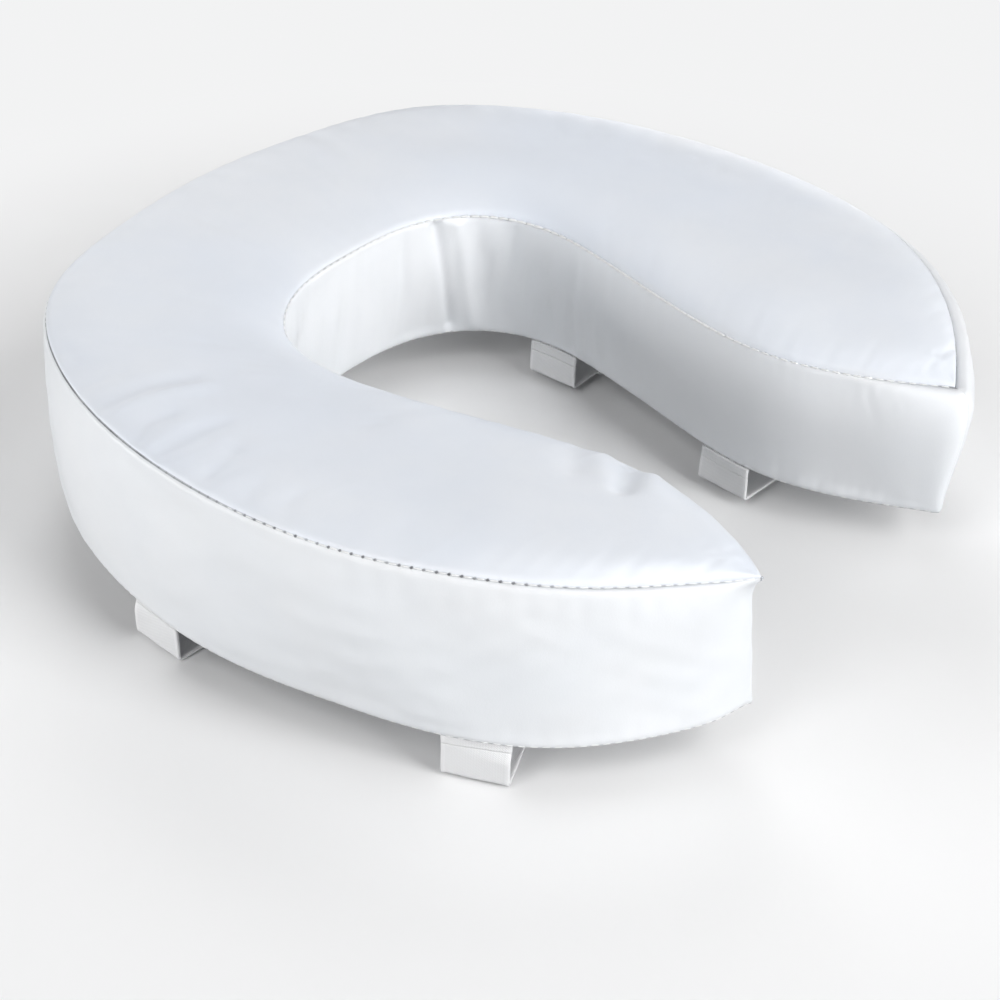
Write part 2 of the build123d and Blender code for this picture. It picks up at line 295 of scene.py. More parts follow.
# ---------------------------------------------------------------- soft noise
def wave_field(shortest, longest, count):
    """Smooth random field of sine waves; wavelengths in mm."""
    lengths = np.exp(RNG.uniform(np.log(shortest), np.log(longest), count))
    angles = RNG.uniform(0, 2 * np.pi, count)
    phases = RNG.uniform(0, 2 * np.pi, count)

    def field(x, y, z=0.0):
        total = 0.0
        for length, angle, phase in zip(lengths, angles, phases):
            k = 2 * np.pi / length
            total = total + np.sin(k * (x * math.cos(angle) + y * math.sin(angle))
                                   + 0.7 * k * z + phase)
        return total / math.sqrt(count)
    return field


def wave_line(shortest, longest, count):
    """The same along a line."""
    lengths = np.exp(RNG.uniform(np.log(shortest), np.log(longest), count))
    phases = RNG.uniform(0, 2 * np.pi, count)

    def line(x):
        total = 0.0
        for length, phase in zip(lengths, phases):
            total = total + np.sin(2 * np.pi * x / length + phase)
        return total / math.sqrt(count)
    return line


def skip_draws(count):
    """Advance the random stream, which keeps the later draws in place."""
    RNG.uniform(size=count)


swell = wave_field(45, 110, 16)
ripple = wave_field(16, 38, 18)
outer_pucker = wave_line(9, 32, 14)
inner_pucker = wave_line(8, 26, 14)
base_pucker = wave_line(12, 40, 12)
skip_draws(16)
buckle = wave_line(11, 26, 9)


# ------------------------------------------------------------- mesh helpers
def link(name, data):
    ob = bpy.data.objects.new(name, data)
    SCENE.collection.objects.link(ob)
    return ob


def mesh_object(name, verts, faces, recalc=True):
    """Smooth-shaded object from points in mm."""
    mesh = bpy.data.meshes.new(name)
    mesh.from_pydata((np.asarray(verts, float) * MM).tolist(), [], faces)
    if recalc:
        bm = bmesh.new()
        bm.from_mesh(mesh)
        bmesh.ops.recalc_face_normals(bm, faces=bm.faces)
        bm.to_mesh(mesh)
        bm.free()
    mesh.polygons.foreach_set("use_smooth", [True] * len(mesh.polygons))
    mesh.update()
    return link(name, mesh)


def set_attribute(ob, name, values):
    attribute = ob.data.attributes.new(name, "FLOAT", "POINT")
    attribute.data.foreach_set("value", np.ascontiguousarray(values, np.float32).reshape(-1))


def grid_object(name, grid, attributes):
    """Cloth panel from a grid of points. attributes: name -> array."""
    shape = grid.shape[:2]
    idx = np.arange(shape[0] * shape[1]).reshape(shape)
    quads = np.stack([idx[:-1, :-1], idx[1:, :-1], idx[1:, 1:], idx[:-1, 1:]], -1)
    ob = mesh_object(name, grid.reshape(-1, 3), quads.reshape(-1, 4).tolist(), recalc=False)
    for key, values in attributes.items():
        set_attribute(ob, key, np.broadcast_to(values, shape))
    ob.data.update()
    cloth = ob.modifiers.new("thickness", "SOLIDIFY")
    cloth.thickness = CLOTH_T * MM
    cloth.offset = -1
    cloth.use_even_offset = False
    cloth.use_rim = True
    return ob


def add_rings(faces, base, ring_count, sides):
    """Quads between neighbouring closed rings of vertices."""
    for i in range(ring_count - 1):
        for j in range(sides):
            j2 = (j + 1) % sides
            faces.append((base + i * sides + j, base + i * sides + j2,
                          base + (i + 1) * sides + j2, base + (i + 1) * sides + j))


def add_tube(verts, faces, path, radii, sides):
    """Append a round, capped tube along a path with a radius per point."""
    path = np.asarray(path, float)
    tangents = np.gradient(path, axis=0)
    tangents /= np.linalg.norm(tangents, axis=1)[:, None] + 1e-12
    ref = np.array([0, 0, 1.0]) if abs(tangents[0][2]) < 0.9 else np.array([1.0, 0, 0])
    base = len(verts)
    for point, tangent, radius in zip(path, tangents, radii):
        a = np.cross(tangent, ref)
        a /= np.linalg.norm(a) + 1e-12
        b = np.cross(a, tangent)
        for j in range(sides):
            angle = 2 * math.pi * j / sides
            verts.append(tuple(point + radius * (a * math.cos(angle) + b * math.sin(angle))))
    add_rings(faces, base, len(path), sides)
    faces.append(tuple(base + j for j in range(sides))[::-1])
    faces.append(tuple(base + (len(path) - 1) * sides + j for j in range(sides)))


# ------------------------------------------------------------ cover panels
# Grid columns run from the left tip to the right. Rows run from base to top
# on the bands, and from the outer to the inner seam on the other panels.
def measured(grid, shares):
    """Panel with each point's surface distance from its first and last row."""
    step = np.linalg.norm(np.diff(grid, axis=1), axis=2)
    first = np.concatenate([np.zeros((len(grid), 1)), np.cumsum(step, 1)], 1)
    return SimpleNamespace(grid=grid, shares=shares, from_first=first,
                           from_last=first[:, -1:] - first)


def band_panel(side, shares):
    levels = [level_curve(side, float(share)) for share in shares]
    points, normals, arcs = (np.array(part) for part in zip(*levels))
    band = measured(points.transpose(1, 0, 2), shares)
    band.normals = normals.transpose(1, 0, 2)
    band.arc = arcs.T
    band.top_arc = band.arc[:, -1:]
    return band


def rise(share):
    """Share of the crown across the top: firm shoulders, long flat middle."""
    return np.clip(1 - np.abs(2 * share - 1) ** 3.4, 0, 1) ** 0.85


def span_panel(row, shares, crown=0.0):
    """Panel that spans from the outer band to the inner one at a row."""
    a, b = outer_band.grid[:, row], inner_band.grid[:, row]
    grid = a[:, None] + (b - a)[:, None] * shares[None, :, None]
    if crown:
        gap = np.hypot(a[:, 0] - b[:, 0], a[:, 1] - b[:, 1])
        grid[..., 2] += crown * rise(shares)[None] * (1 - bell(gap, 30.0, power=1.3))[:, None]
    return measured(grid, shares)


outer_band = band_panel(OUTER, row_shares(41, edge=0.8))
inner_band = band_panel(INNER, row_shares(37, edge=0.8))
top_panel = span_panel(-1, row_shares(69, edge=0.85), CROWN)
base_panel = span_panel(0, row_shares(33, edge=0.8))
PLACE = np.r_[np.zeros(TIP_COLUMNS), spacing(ALONG), np.ones(TIP_COLUMNS)]
PLACE_COLUMN = PLACE[:, None]


def corner(band, row, up):
    """Directions halfway between the two panels' outsides at a seam."""
    return np.concatenate([band.normals[:, row], np.full((COLUMNS, 1), up)], 1) / math.sqrt(2)


OUTER_TOP_CORNER, INNER_TOP_CORNER = corner(outer_band, -1, 1.0), corner(inner_band, -1, 1.0)
OUTER_BASE_CORNER, INNER_BASE_CORNER = corner(outer_band, 0, -1.0), corner(inner_band, 0, -1.0)


# ------------------------------------------------------- sewn cloth, filled
def catmull(grid, places, axis):
    """Cubic resampling at fractional indices along an axis."""
    grid = np.moveaxis(grid, axis, 0)
    first = np.clip(np.floor(places).astype(int), 0, len(grid) - 2)
    t = (places - first).reshape((-1,) + (1,) * (grid.ndim - 1))
    before, start, end, after = (grid[np.clip(first + k, 0, len(grid) - 1)]
                                 for k in (-1, 0, 1, 2))
    out = 0.5 * (2 * start + (end - before) * t
                 + (2 * before - 5 * start + 4 * end - after) * t ** 2
                 + (3 * start - before - 3 * end + after) * t ** 3)
    return np.moveaxis(out, 0, axis)


def box_blur(grid, reach):
    """Running mean along the columns."""
    padded = np.pad(grid, [(reach, reach)] + [(0, 0)] * (grid.ndim - 1), mode="edge")
    total = np.cumsum(np.concatenate([np.zeros_like(padded[:1]), padded]), axis=0)
    return (total[2 * reach + 1:] - total[:-2 * reach - 1]) / (2 * reach + 1)


BAG_STEP = 4                            # horseshoe samples per bag column
BAG_OUTER, BAG_TOP, BAG_INNER, BAG_BASE = 17, 23, 15, 15   # rows of each panel
BAG_INNER_0 = BAG_OUTER + BAG_TOP - 2   # first row of the inner band
BAG_BASE_0 = BAG_INNER_0 + BAG_INNER - 1
BAG_SCALE = 10.0                        # the bag is simulated this much larger
BAG_FRAMES = 20
BAG_CLOTH = dict(
    quality=5, mass=0.12, tension_stiffness=22, compression_stiffness=22,
    shear_stiffness=9, bending_stiffness=0.25, tension_damping=8,
    compression_damping=8, shear_damping=8, air_damping=2.5, pin_stiffness=3.0,
    vertex_group_mass="pin", shrink_min=-0.014, use_pressure=True,
    uniform_pressure_force=4.0)


def bag_rings():
    """Bag cross sections, and how firmly each point is pinned."""
    columns = TIP_COLUMNS + np.arange(0, ALONG, BAG_STEP)

    def sample(panel, count):
        rows = np.linspace(0, panel.grid.shape[1] - 1, count)
        return catmull(panel.grid[columns], rows, 1)

    outer, top = sample(outer_band, BAG_OUTER), sample(top_panel, BAG_TOP)
    inner = sample(inner_band, BAG_INNER)[:, ::-1]
    base = sample(base_panel, BAG_BASE)[:, ::-1]
    rings = np.concatenate([outer, top[:, 1:-1], inner, base[:, 1:-1]], 1)
    pin = np.zeros(rings.shape[:2])
    pin[:, [0, BAG_OUTER - 1, BAG_INNER_0]] = 1.0
    pin[:, BAG_BASE_0:] = 1.0
    gap = np.linalg.norm(outer[:, -1] - inner[:, 0], axis=1)
    return rings, np.maximum(pin, smooth(26, 12, gap)[:, None])


def bag_object(rings, pin):
    columns, around = rings.shape[:2]
    idx = np.arange(columns * around).reshape(columns, around)
    after = np.roll(idx, -1, axis=1)
    quads = np.stack([idx[:-1], after[:-1], after[1:], idx[1:]], -1).reshape(-1, 4)
    mesh = bpy.data.meshes.new("cover_bag")
    mesh.from_pydata((rings.reshape(-1, 3) * MM * BAG_SCALE).tolist(), [], quads.tolist())
    mesh.update()
    ob = link("cover_bag", mesh)
    # the faces of the top must look up
    if mesh.polygons[(columns // 2) * around + BAG_OUTER + BAG_TOP // 2].normal.z < 0:
        mesh.flip_normals()
    group = ob.vertex_groups.new(name="pin")
    weights = pin.reshape(-1).round(2)
    for weight in np.unique(weights):
        if weight > 0:
            group.add(np.nonzero(weights == weight)[0].tolist(), float(weight), "REPLACE")
    return ob


def sew_and_fill():
    """The cover as one sewn bag of panels, cut a little too large, pinned at
    its seams and filled from inside. Returns each panel's own movement."""
    rings, pin = bag_rings()
    bag = bag_object(rings, pin)
    cloth = bag.modifiers.new("cloth", "CLOTH")
    for key, value in BAG_CLOTH.items():
        setattr(cloth.settings, key, value)
    cloth.settings.effector_weights.gravity = 0.0
    cloth.collision_settings.use_collision = False
    cloth.point_cache.frame_start, cloth.point_cache.frame_end = 1, BAG_FRAMES
    for i in range(1, BAG_FRAMES + 1):
        SCENE.frame_set(i)
    filled = bag.evaluated_get(bpy.context.evaluated_depsgraph_get()).data
    coords = np.empty(len(filled.vertices) * 3)
    filled.vertices.foreach_get("co", coords)
    moved = coords.reshape(rings.shape) / (MM * BAG_SCALE) - rings
    mesh = bag.data
    bpy.data.objects.remove(bag)
    bpy.data.meshes.remove(mesh)
    SCENE.frame_set(1)
    size = np.linalg.norm(moved, axis=2)
    largest = 6.0
    moved *= (np.minimum(size, largest) / np.maximum(size, 1e-9))[..., None]
    out = {}
    for key, part, shares in (
            ("outer", moved[:, :BAG_OUTER], outer_band.shares),
            ("top", moved[:, BAG_OUTER - 1:BAG_INNER_0 + 1], top_panel.shares),
            ("inner", moved[:, BAG_INNER_0:BAG_BASE_0 + 1][:, ::-1], inner_band.shares)):
        # the broad swelling is left out: the panels' cut sets the crown
        part = part - 0.85 * box_blur(box_blur(part, 6), 6)
        part = catmull(part, shares * (part.shape[1] - 1), 1)
        part = catmull(part, np.arange(ALONG) / BAG_STEP, 0)
        out[key] = np.concatenate([np.repeat(part[:1], TIP_COLUMNS, 0), part,
                                   np.repeat(part[-1:], TIP_COLUMNS, 0)], 0)
    return out


FILLED = sew_and_fill()

# ------------------------------------------------------- folds and creases
# Drag folds over the top panel: plan path, height, half width
FOLDS = [
    ([(-146.8, 111.8), (-145.6, 107.5)], -0.53, 4.2),
    ([(-156.5, 108.4), (-159.3, 100.4)], -0.60, 3.8),
    ([(-168.8, 83.8), (-155.1, 76.9)], -0.88, 4.2),
    ([(-174.3, 67.2), (-166.6, 63.9), (-153.5, 60.6), (-138.0, 54.0)], -1.49, 4.4),
    ([(-170.0, 57.2), (-155.5, 52.0), (-140.0, 45.8)], 1.22, 4.6),
    ([(-181.5, 40.2), (-172.8, 43.2), (-163.0, 40.0)], -1.40, 4.0),
    ([(-179.0, 33.5), (-164.0, 31.0)], 0.79, 3.8),
    ([(-182.2, 27.0), (-171.8, 23.8), (-155.0, 19.5)], -1.31, 5.0),
    ([(-178.0, 14.0), (-164.0, 12.0)], 0.70, 4.5),
    ([(-181.5, 1.4), (-175.2, 0.6), (-167.0, 2.0)], -1.14, 4.6),
    ([(-165.2, 3.4), (-153.6, 8.2)], -0.53, 4.6),
    ([(-182.5, -19.9), (-177.0, -19.0)], -0.70, 4.0),
    ([(-179.5, -37.9), (-173.0, -35.0)], -0.70, 4.6),
    ([(-160.8, -55.2), (-158.0, -50.0)], -0.53, 5.5),
    ([(-167.6, -84.1), (-162.0, -79.0)], -0.56, 5.0),
    # tuck behind the left tip, with the fullness either side of it
    ([(-58.5, -108.0), (-66.5, -112.8), (-73.5, -116.8), (-82.0, -121.0)], -2.5, 4.6),
    ([(-60.0, -95.0), (-69.0, -101.5), (-79.0, -110.5)], 0.85, 5.2),
    ([(-60.0, -120.0), (-66.0, -124.5), (-74.5, -130.0)], 1.15, 5.0),
    ([(-66.0, -87.0), (-74.0, -93.0), (-84.0, -99.5)], -0.80, 5.4),
    ([(-124.0, -118.0), (-130.0, -115.0)], -0.25, 5.0),
    # weaker folds on the right shoulder and at the rear
    ([(171.0, 75.0), (158.0, 68.0), (146.0, 64.0)], -0.45, 4.6),
    ([(176.0, 58.0), (160.0, 52.0)], 0.35, 4.8),
    ([(182.0, 36.0), (166.0, 33.0), (152.0, 30.0)], -0.50, 4.8),
    ([(180.0, 8.0), (168.0, 8.0)], -0.40, 4.6),
    ([(120.0, 138.0), (112.0, 126.0)], -0.35, 4.6),
    ([(-112.0, 142.0), (-104.0, 128.0)], -0.30, 4.6),
]
# Creases of the inner band: (place, height share) path, height, half width
CREASES = [
    ([(0.578, 1.0), (0.581, 0.85), (0.588, 0.46), (0.597, 0.0)], -3.3, 2.5),
    ([(0.592, 1.0), (0.597, 0.8), (0.604, 0.38), (0.616, 0.0)], 2.1, 4.0),
    ([(0.640, 0.9), (0.632, 0.46), (0.627, 0.1)], -0.9, 4.0),
    ([(0.655, 0.40), (0.658, 0.08)], 0.8, 2.6),
    ([(0.671, 0.62), (0.672, 0.2)], -0.4, 3.4),
    ([(0.690, 0.45), (0.694, 0.05)], -1.1, 2.6),
    ([(0.704, 0.50), (0.710, 0.08)], 0.9, 2.4),
    ([(0.724, 0.52), (0.728, 0.15)], -0.5, 3.0),
    ([(0.552, 0.80), (0.562, 0.10)], -0.55, 3.6),
    ([(0.571, 0.85), (0.579, 0.2)], 0.5, 3.6),
    ([(0.530, 0.70), (0.534, 0.15)], -0.35, 4.0),
    ([(0.505, 0.55), (0.506, 0.1)], 0.30, 4.5),
    ([(0.416, 1.0), (0.410, 0.5), (0.401, 0.0)], -1.5, 3.4),
    ([(0.398, 0.9), (0.390, 0.3)], 0.8, 3.6),
    ([(0.368, 0.7), (0.362, 0.1)], -0.8, 3.6),
    ([(0.345, 0.5), (0.340, 0.1)], 0.5, 3.2),
    ([(0.318, 0.5), (0.314, 0.05)], -0.6, 3.2),
    ([(0.455, 0.8), (0.450, 0.2)], -0.5, 4.4),
]
CREASE_H = 68.0             # band height that the crease shares refer to
# Strength along the top seams: (place, factor)
OUTER_PUCKERS = ((0, 0.15), (0.08, 0.5), (0.12, 1.0), (0.3, 1.0), (0.35, 0.7), (1, 0.7))
INNER_PUCKERS = ((0, 0.1), (0.09, 0.4), (0.11, 1.0), (0.16, 0.6), (0.3, 0.4), (0.5, 0.7),
                 (0.7, 0.25), (0.88, 0.6), (0.95, 0.4), (1, 0.1))
OUTER_GAPE = ((0, 0.75), (0.17, 0.8), (0.22, 1.9), (0.33, 1.9), (0.37, 1.1), (0.985, 0.9),
              (0.992, 2.4), (1, 2.4))
INNER_GAPE = ((0, 0.9), (0.5, 0.9), (0.57, 0.6), (0.62, 0.3), (0.84, 0.3), (0.88, 0.45),
              (1, 0.5))
OUTER_GROOVE = GROOVE * lookup(PLACE_COLUMN, OUTER_GAPE)
INNER_GROOVE = GROOVE * lookup(PLACE_COLUMN, INNER_GAPE)
inner_pucker_strength = lookup(PLACE_COLUMN, INNER_PUCKERS)


def path_distance(x, y, path):
    best = np.full(x.shape, 1e9)
    for (x0, y0), (x1, y1) in zip(path[:-1], path[1:]):
        square = (x1 - x0) ** 2 + (y1 - y0) ** 2
        t = np.clip(((x - x0) * (x1 - x0) + (y - y0) * (y1 - y0)) / square, 0, 1)
        best = np.minimum(best, np.hypot(x - x0 - t * (x1 - x0), y - y0 - t * (y1 - y0)))
    return best


def roll(distance):
    """Rounded lip where a panel turns into its seam."""
    return 0.20 * bell(distance, 2.2, centre=3.0) - 0.10 * bell(distance, 1.4)


def gathers(along, distance, wave, height, reach=9.0):
    """Small puckers that start at the stitches and die out into the panel."""
    near = distance / 3.0
    fade = near / (1 + near ** 1.5) * np.exp(-distance / reach)
    return height * wave(along) * fade * 1.6


def pinch(grid, distance, directions, depth=GROOVE, width=1.15):
    return grid - directions[:, None] * (depth * bell(distance, width))[..., None]


def outward_normals(grid, row, outward):
    """Grid normals, turned so that mid rear point of a row faces outward."""
    n = np.cross(np.gradient(grid, axis=0), np.gradient(grid, axis=1))
    n /= np.linalg.norm(n, axis=2)[..., None] + 1e-12
    return -n if n[COLUMNS // 2, row] @ outward < 0 else n


def shape_top():
    grid, from_outer, from_inner = top_panel.grid, top_panel.from_first, top_panel.from_last
    x, y = grid[..., 0], grid[..., 1]
    to_seam = np.minimum(from_outer, from_inner)
    in_open = smooth(4, 22, to_seam)
    beside_seam = smooth(0.3, 3.0, to_seam)
    height = 0.42 * swell(x, y) * in_open
    for path, rise_, half_width in FOLDS:
        height += rise_ * bell(path_distance(x, y, path), half_width) * beside_seam
    height += 0.07 * ripple(x, y) * in_open
    height += roll(to_seam)
    height += gathers(outer_band.top_arc, from_outer, outer_pucker, 0.15) \
        * lookup(PLACE_COLUMN, OUTER_PUCKERS)
    height += gathers(inner_band.top_arc, from_inner, inner_pucker, 0.34, reach=8) \
        * inner_pucker_strength
    # the right arm is packed full along its inner shoulder
    right_arm = smooth(0.55, 0.63, PLACE_COLUMN) * smooth(0.98, 0.86, PLACE_COLUMN)
    height += 3.1 * right_arm * (1 - np.exp(-(from_inner / 4.4))) * smooth(75, 16, from_inner)
    # the waist over the rear of the hole lies a little lower
    height -= 0.8 * bell(PLACE_COLUMN, 0.16, centre=0.5) * bell(from_inner, 20, centre=18)
    normals = outward_normals(grid, 30, (0, 0, 1))
    grid = grid + normals * height[..., None] \
        + 0.24 * FILLED["top"] * smooth(0, 5, to_seam)[..., None]
    grid = pinch(grid, from_outer, OUTER_TOP_CORNER, OUTER_GROOVE, width=1.0)
    return pinch(grid, from_inner, INNER_TOP_CORNER, INNER_GROOVE, width=1.1)


def shape_outer():
    grid, from_base, from_top = outer_band.grid, outer_band.from_first, outer_band.from_last
    x, y, z = grid[..., 0], grid[..., 1], grid[..., 2]
    middle = smooth(4, 16, from_top) * smooth(3, 12, from_base)
    height = 0.45 * swell(x * 1.1 + 40, y * 1.1, z) * middle
    height += 0.12 * ripple(x, y, z * 2) * middle
    height += roll(np.minimum(from_top, from_base))
    height += gathers(outer_band.arc, from_top, outer_pucker, 0.14)
    height += gathers(outer_band.arc, from_base, base_pucker, 0.10, reach=12)
    normals = outward_normals(grid, 20, (0, 1, 0))
    grid = grid + normals * height[..., None] + 0.28 * FILLED["outer"]
    grid = pinch(grid, from_top, OUTER_TOP_CORNER, OUTER_GROOVE, width=1.0)
    return pinch(grid, from_base, OUTER_BASE_CORNER)


def shape_inner():
    """The inner band is bent the tight way round the rear of the hole, so it
    buckles into upright creases there."""
    grid, from_base, from_top = inner_band.grid, inner_band.from_first, inner_band.from_last
    share = inner_band.shares[None, :]
    arc = inner_band.arc
    height = 0.35 * swell(grid[..., 0] + 90, grid[..., 1], grid[..., 2]) \
        * smooth(3, 12, from_top) * smooth(2, 9, from_base)
    tight = bell(PLACE_COLUMN, 0.17, centre=0.5, power=4)
    envelope = smooth(0.0, 0.16, 1 - share) * (0.35 + 0.65 * smooth(0.0, 0.5, share))
    height += 0.22 * tight * buckle(arc + 6 * share) * envelope
    length = inner_band.top_arc[-1, 0]
    x = np.broadcast_to(PLACE_COLUMN * length, arc.shape)
    y = np.broadcast_to(share * CREASE_H, arc.shape)
    for path, rise_, half_width in CREASES:
        path = [(place * length, up * CREASE_H) for place, up in path]
        height += rise_ * bell(path_distance(x, y, path), half_width) \
            * smooth(0.0, 0.05, 1 - share) * smooth(-0.02, 0.10, share)
    height += roll(np.minimum(from_top, from_base)) * 0.6
    height += gathers(arc, from_top, inner_pucker, 0.22) * inner_pucker_strength
    height += gathers(arc, from_base, base_pucker, 0.28)
    normals = outward_normals(grid, 18, (0, -1, 0))
    grid = grid + normals * height[..., None] + 0.36 * FILLED["inner"]
    grid = pinch(grid, from_top, INNER_TOP_CORNER, INNER_GROOVE, width=1.1)
    return pinch(grid, from_base, INNER_BASE_CORNER)


def shape_base():
    """Flat where it rests, its edges turned into the seams."""
    grid = pinch(base_panel.grid, base_panel.from_first, OUTER_BASE_CORNER)
    grid = pinch(grid, base_panel.from_last, INNER_BASE_CORNER)
    grid[..., 2] = np.maximum(grid[..., 2], 0.0)
    return grid


top_grid, outer_grid, inner_grid, base_grid = \
    shape_top(), shape_outer(), shape_inner(), shape_base()


# -------------------------------------------------------------- arms and tips
def push(grid, normals, amount, profile):
    """Move a grid in plan along normals: an amount per column, times a
    profile across the rows."""
    grid[..., :2] += normals * (amount[:, None] * profile[None])[..., None]


# the foot of the left arm spreads a little behind its tip, and so does the
# foot of the left shoulder: (amount per column, fade up the band)
foot_spreads = (
    (5.0 * smooth(0.16, 0.06, PLACE) * (1 - bell(outer_band.top_arc[:, 0], 12.0)), 2.2),
    (4.6 * smooth(0.15, 0.235, PLACE) * smooth(0.42, 0.30, PLACE), 1.7))
for amount, fade in foot_spreads:
    push(outer_grid, outer_band.normals, amount, (1 - outer_band.shares) ** fade)
    push(base_grid, outer_band.normals[:, :1], amount,
         np.clip(1 - base_panel.shares * 2.0, 0, 1))
# the left arm's inner edge leans into the slot just behind its tip
LEAN = ((0, 0), (0.012, 0.30), (0.03, 0.72), (0.055, 1), (0.085, 0.85), (0.115, 0.45),
        (0.15, 0), (1, 0))
lean = 4.2 * lookup(PLACE, LEAN)
push(inner_grid, inner_band.normals, lean, inner_band.shares ** 1.3)
push(top_grid, inner_band.normals[:, -1:], lean, top_panel.shares ** 3)

# how far the left tip is drawn out: (height share, distance)
TIP_PULL = ((0, 0), (0.25, 1.2), (0.6, 3.6), (0.85, 4.2), (0.93, 3.2), (0.975, 1.1), (1, 0))
# plan shift of the left tip's surroundings at the base and at the top seam
LEFT_BASE_SHIFT, LEFT_TOP_SHIFT = (5.8, -2.1), (0.94, -3.07)


def tip_shape(grid, share):
    """The left tip is drawn out a little and hangs over its band, the right
    one is pressed back. share is the height share of each row."""
    out = grid.copy()
    share = np.broadcast_to(np.asarray(share, float), grid.shape[:2])
    pull = lookup(share, TIP_PULL)
    for sign in (-1, 1):
        tip = np.stack([tip_point(s) * (sign, 1) for s in share[0]])
        distance = np.hypot(grid[..., 0] - tip[None, :, 0], grid[..., 1] - tip[None, :, 1])
        far, near = bell(distance, 24.0), bell(distance, 9.0)
        for i in (0, 1):
            if sign < 0:
                low, high = LEFT_BASE_SHIFT[i], LEFT_TOP_SHIFT[i]
                axis = -TIP_AXIS[0] if i == 0 else TIP_AXIS[1]
                out[..., i] += far * (low + (high - low) * share) + near * pull * axis
            else:
                out[..., i] += far * share * 2.0 * TIP_AXIS[i]
        out[..., 2] -= far * (0.5 if sign < 0 else 0.3) * share
    return out


def round_tip(grid, shares, other, other_shares, reach=46.0, step=0.5):
    """Plan rounding of the right tip, where one band ends on the other: each
    level is smoothed round the corner, least at the seams it is sewn to."""
    out = grid.copy()
    for j, share in enumerate(shares):
        sigma = 5.2 * float(smooth(0.0, 0.16, 1 - share)) \
            * (0.45 + 0.55 * float(smooth(0.0, 0.35, share)))
        if sigma < 0.05:
            continue
        row = np.interp(share, other_shares, np.arange(len(other_shares)))
        k = min(int(row), len(other_shares) - 2)
        level = other[:, k] + (other[:, k + 1] - other[:, k]) * (row - k)
        curve = np.concatenate([grid[:-1, j, :2], level[::-1, :2]])
        length = arc_length(curve)
        tip_at = length[len(grid) - 1]
        window = np.arange(-reach * 1.6, reach * 1.6, step)
        sharp = interp_columns(tip_at + window, length, curve)
        half = int(4 * sigma / step) + 1
        kernel = np.exp(-((np.arange(-half, half + 1) * step) / sigma) ** 2 / 2)
        kernel /= kernel.sum()
        padded = np.pad(sharp, ((half, half), (0, 0)), "edge")
        rounded = np.stack([np.convolve(padded[:, i], kernel, "valid") for i in (0, 1)], 1)
        shift = (rounded - sharp) * bell(window, reach * 0.6, power=4)[:, None]
        # keep the tip in place: push the nose out by most of what it lost
        lost = shift[len(window) // 2]
        shift -= lost * 0.80 * bell(window, 3.2 * sigma)[:, None]
        for i in (0, 1):
            out[:, j, i] += np.interp(length[:len(grid)] - tip_at, window, shift[:, i],
                                      left=0, right=0)
    return out


outer_grid = tip_shape(outer_grid, outer_band.shares[None])
inner_grid = tip_shape(inner_grid, inner_band.shares[None])
top_grid, base_grid = tip_shape(top_grid, 1.0), tip_shape(base_grid, 0.0)
round_outer = round_tip(outer_grid, outer_band.shares, inner_grid, inner_band.shares)
round_inner = round_tip(inner_grid, inner_band.shares, outer_grid, outer_band.shares)
# the base follows both bands' lower edges
base_shares = base_panel.shares[None, :, None]
base_grid[..., :2] += (
    (round_outer[:, 0, :2] - outer_grid[:, 0, :2])[:, None] * (1 - base_shares)
    + (round_inner[:, 0, :2] - inner_grid[:, 0, :2])[:, None] * base_shares)
outer_grid, inner_grid = round_outer, round_inner

# -------------------------------------------------------------- cover objects
# Painted shade of each seam along its length: (place, seam line, needle holes); the line stands
# for shade in its groove, the holes for shade inside them
OUTER_SEAM_SHADE = (
    (0.0, 0.20, 0.0), (0.065, 0.22, 0.05), (0.095, 0.25, 0.9), (0.17, 0.35, 1.0),
    (0.20, 0.75, 0.45), (0.24, 1.0, 0.30), (0.33, 1.0, 0.15), (0.36, 0.6, 0.3),
    (0.5, 0.45, 0.4), (0.8, 0.5, 0.5), (0.95, 0.35, 0.4), (0.985, 0.3, 0.2),
    (0.991, 1.0, 0.0), (1.0, 1.0, 0.0))
INNER_SEAM_SHADE = (
    (0.0, 0.35, 0.0), (0.08, 0.35, 0.2), (0.15, 0.3, 0.4), (0.35, 0.45, 0.2),
    (0.46, 0.55, 0.15), (0.53, 0.30, 0.1), (0.58, 0.12, 0.1), (0.63, 0.02, 0.05),
    (0.84, 0.02, 0.08), (0.87, 0.05, 0.6), (0.95, 0.05, 0.35), (0.985, 0.1, 0.1),
    (0.992, 0.9, 0.0), (1.0, 1.0, 0.0))
BASE_SEAM_SHADE = ((0.0, 0.35, 0.2), (1.0, 0.35, 0.2))


def cover_object(name, grid, seam_a, seam_b):
    """A panel with its two seams, each (distance, length along it, painted seam shade)."""
    (d1, s1, shade1), (d2, s2, shade2) = seam_a, seam_b
    near = d1 < d2
    attributes = {"seam_d": np.minimum(d1, d2), "seam_s": np.where(near, s1, s2)}
    for column, key in ((1, "seam_line_shade"), (2, "seam_hole_shade")):
        attributes[key] = np.where(near, lookup(PLACE_COLUMN, shade1, column),
                                   lookup(PLACE_COLUMN, shade2, column))
    attributes["side"] = PLACE_COLUMN
    return grid_object(name, grid, attributes)


top = cover_object("cover_top_panel", top_grid,
                   (top_panel.from_first, outer_band.top_arc, OUTER_SEAM_SHADE),
                   (top_panel.from_last, inner_band.top_arc, INNER_SEAM_SHADE))
outer = cover_object("cover_outer_band", outer_grid,
                     (outer_band.from_last, outer_band.top_arc, OUTER_SEAM_SHADE),
                     (outer_band.from_first, outer_band.arc, BASE_SEAM_SHADE))
inner = cover_object("cover_inner_band", inner_grid,
                     (inner_band.from_last, inner_band.top_arc, INNER_SEAM_SHADE),
                     (inner_band.from_first, inner_band.arc, BASE_SEAM_SHADE))
base = cover_object("cover_base_panel", base_grid,
                    (base_panel.from_first, outer_band.arc[:, :1], BASE_SEAM_SHADE),
                    (base_panel.from_last, inner_band.arc[:, :1], BASE_SEAM_SHADE))

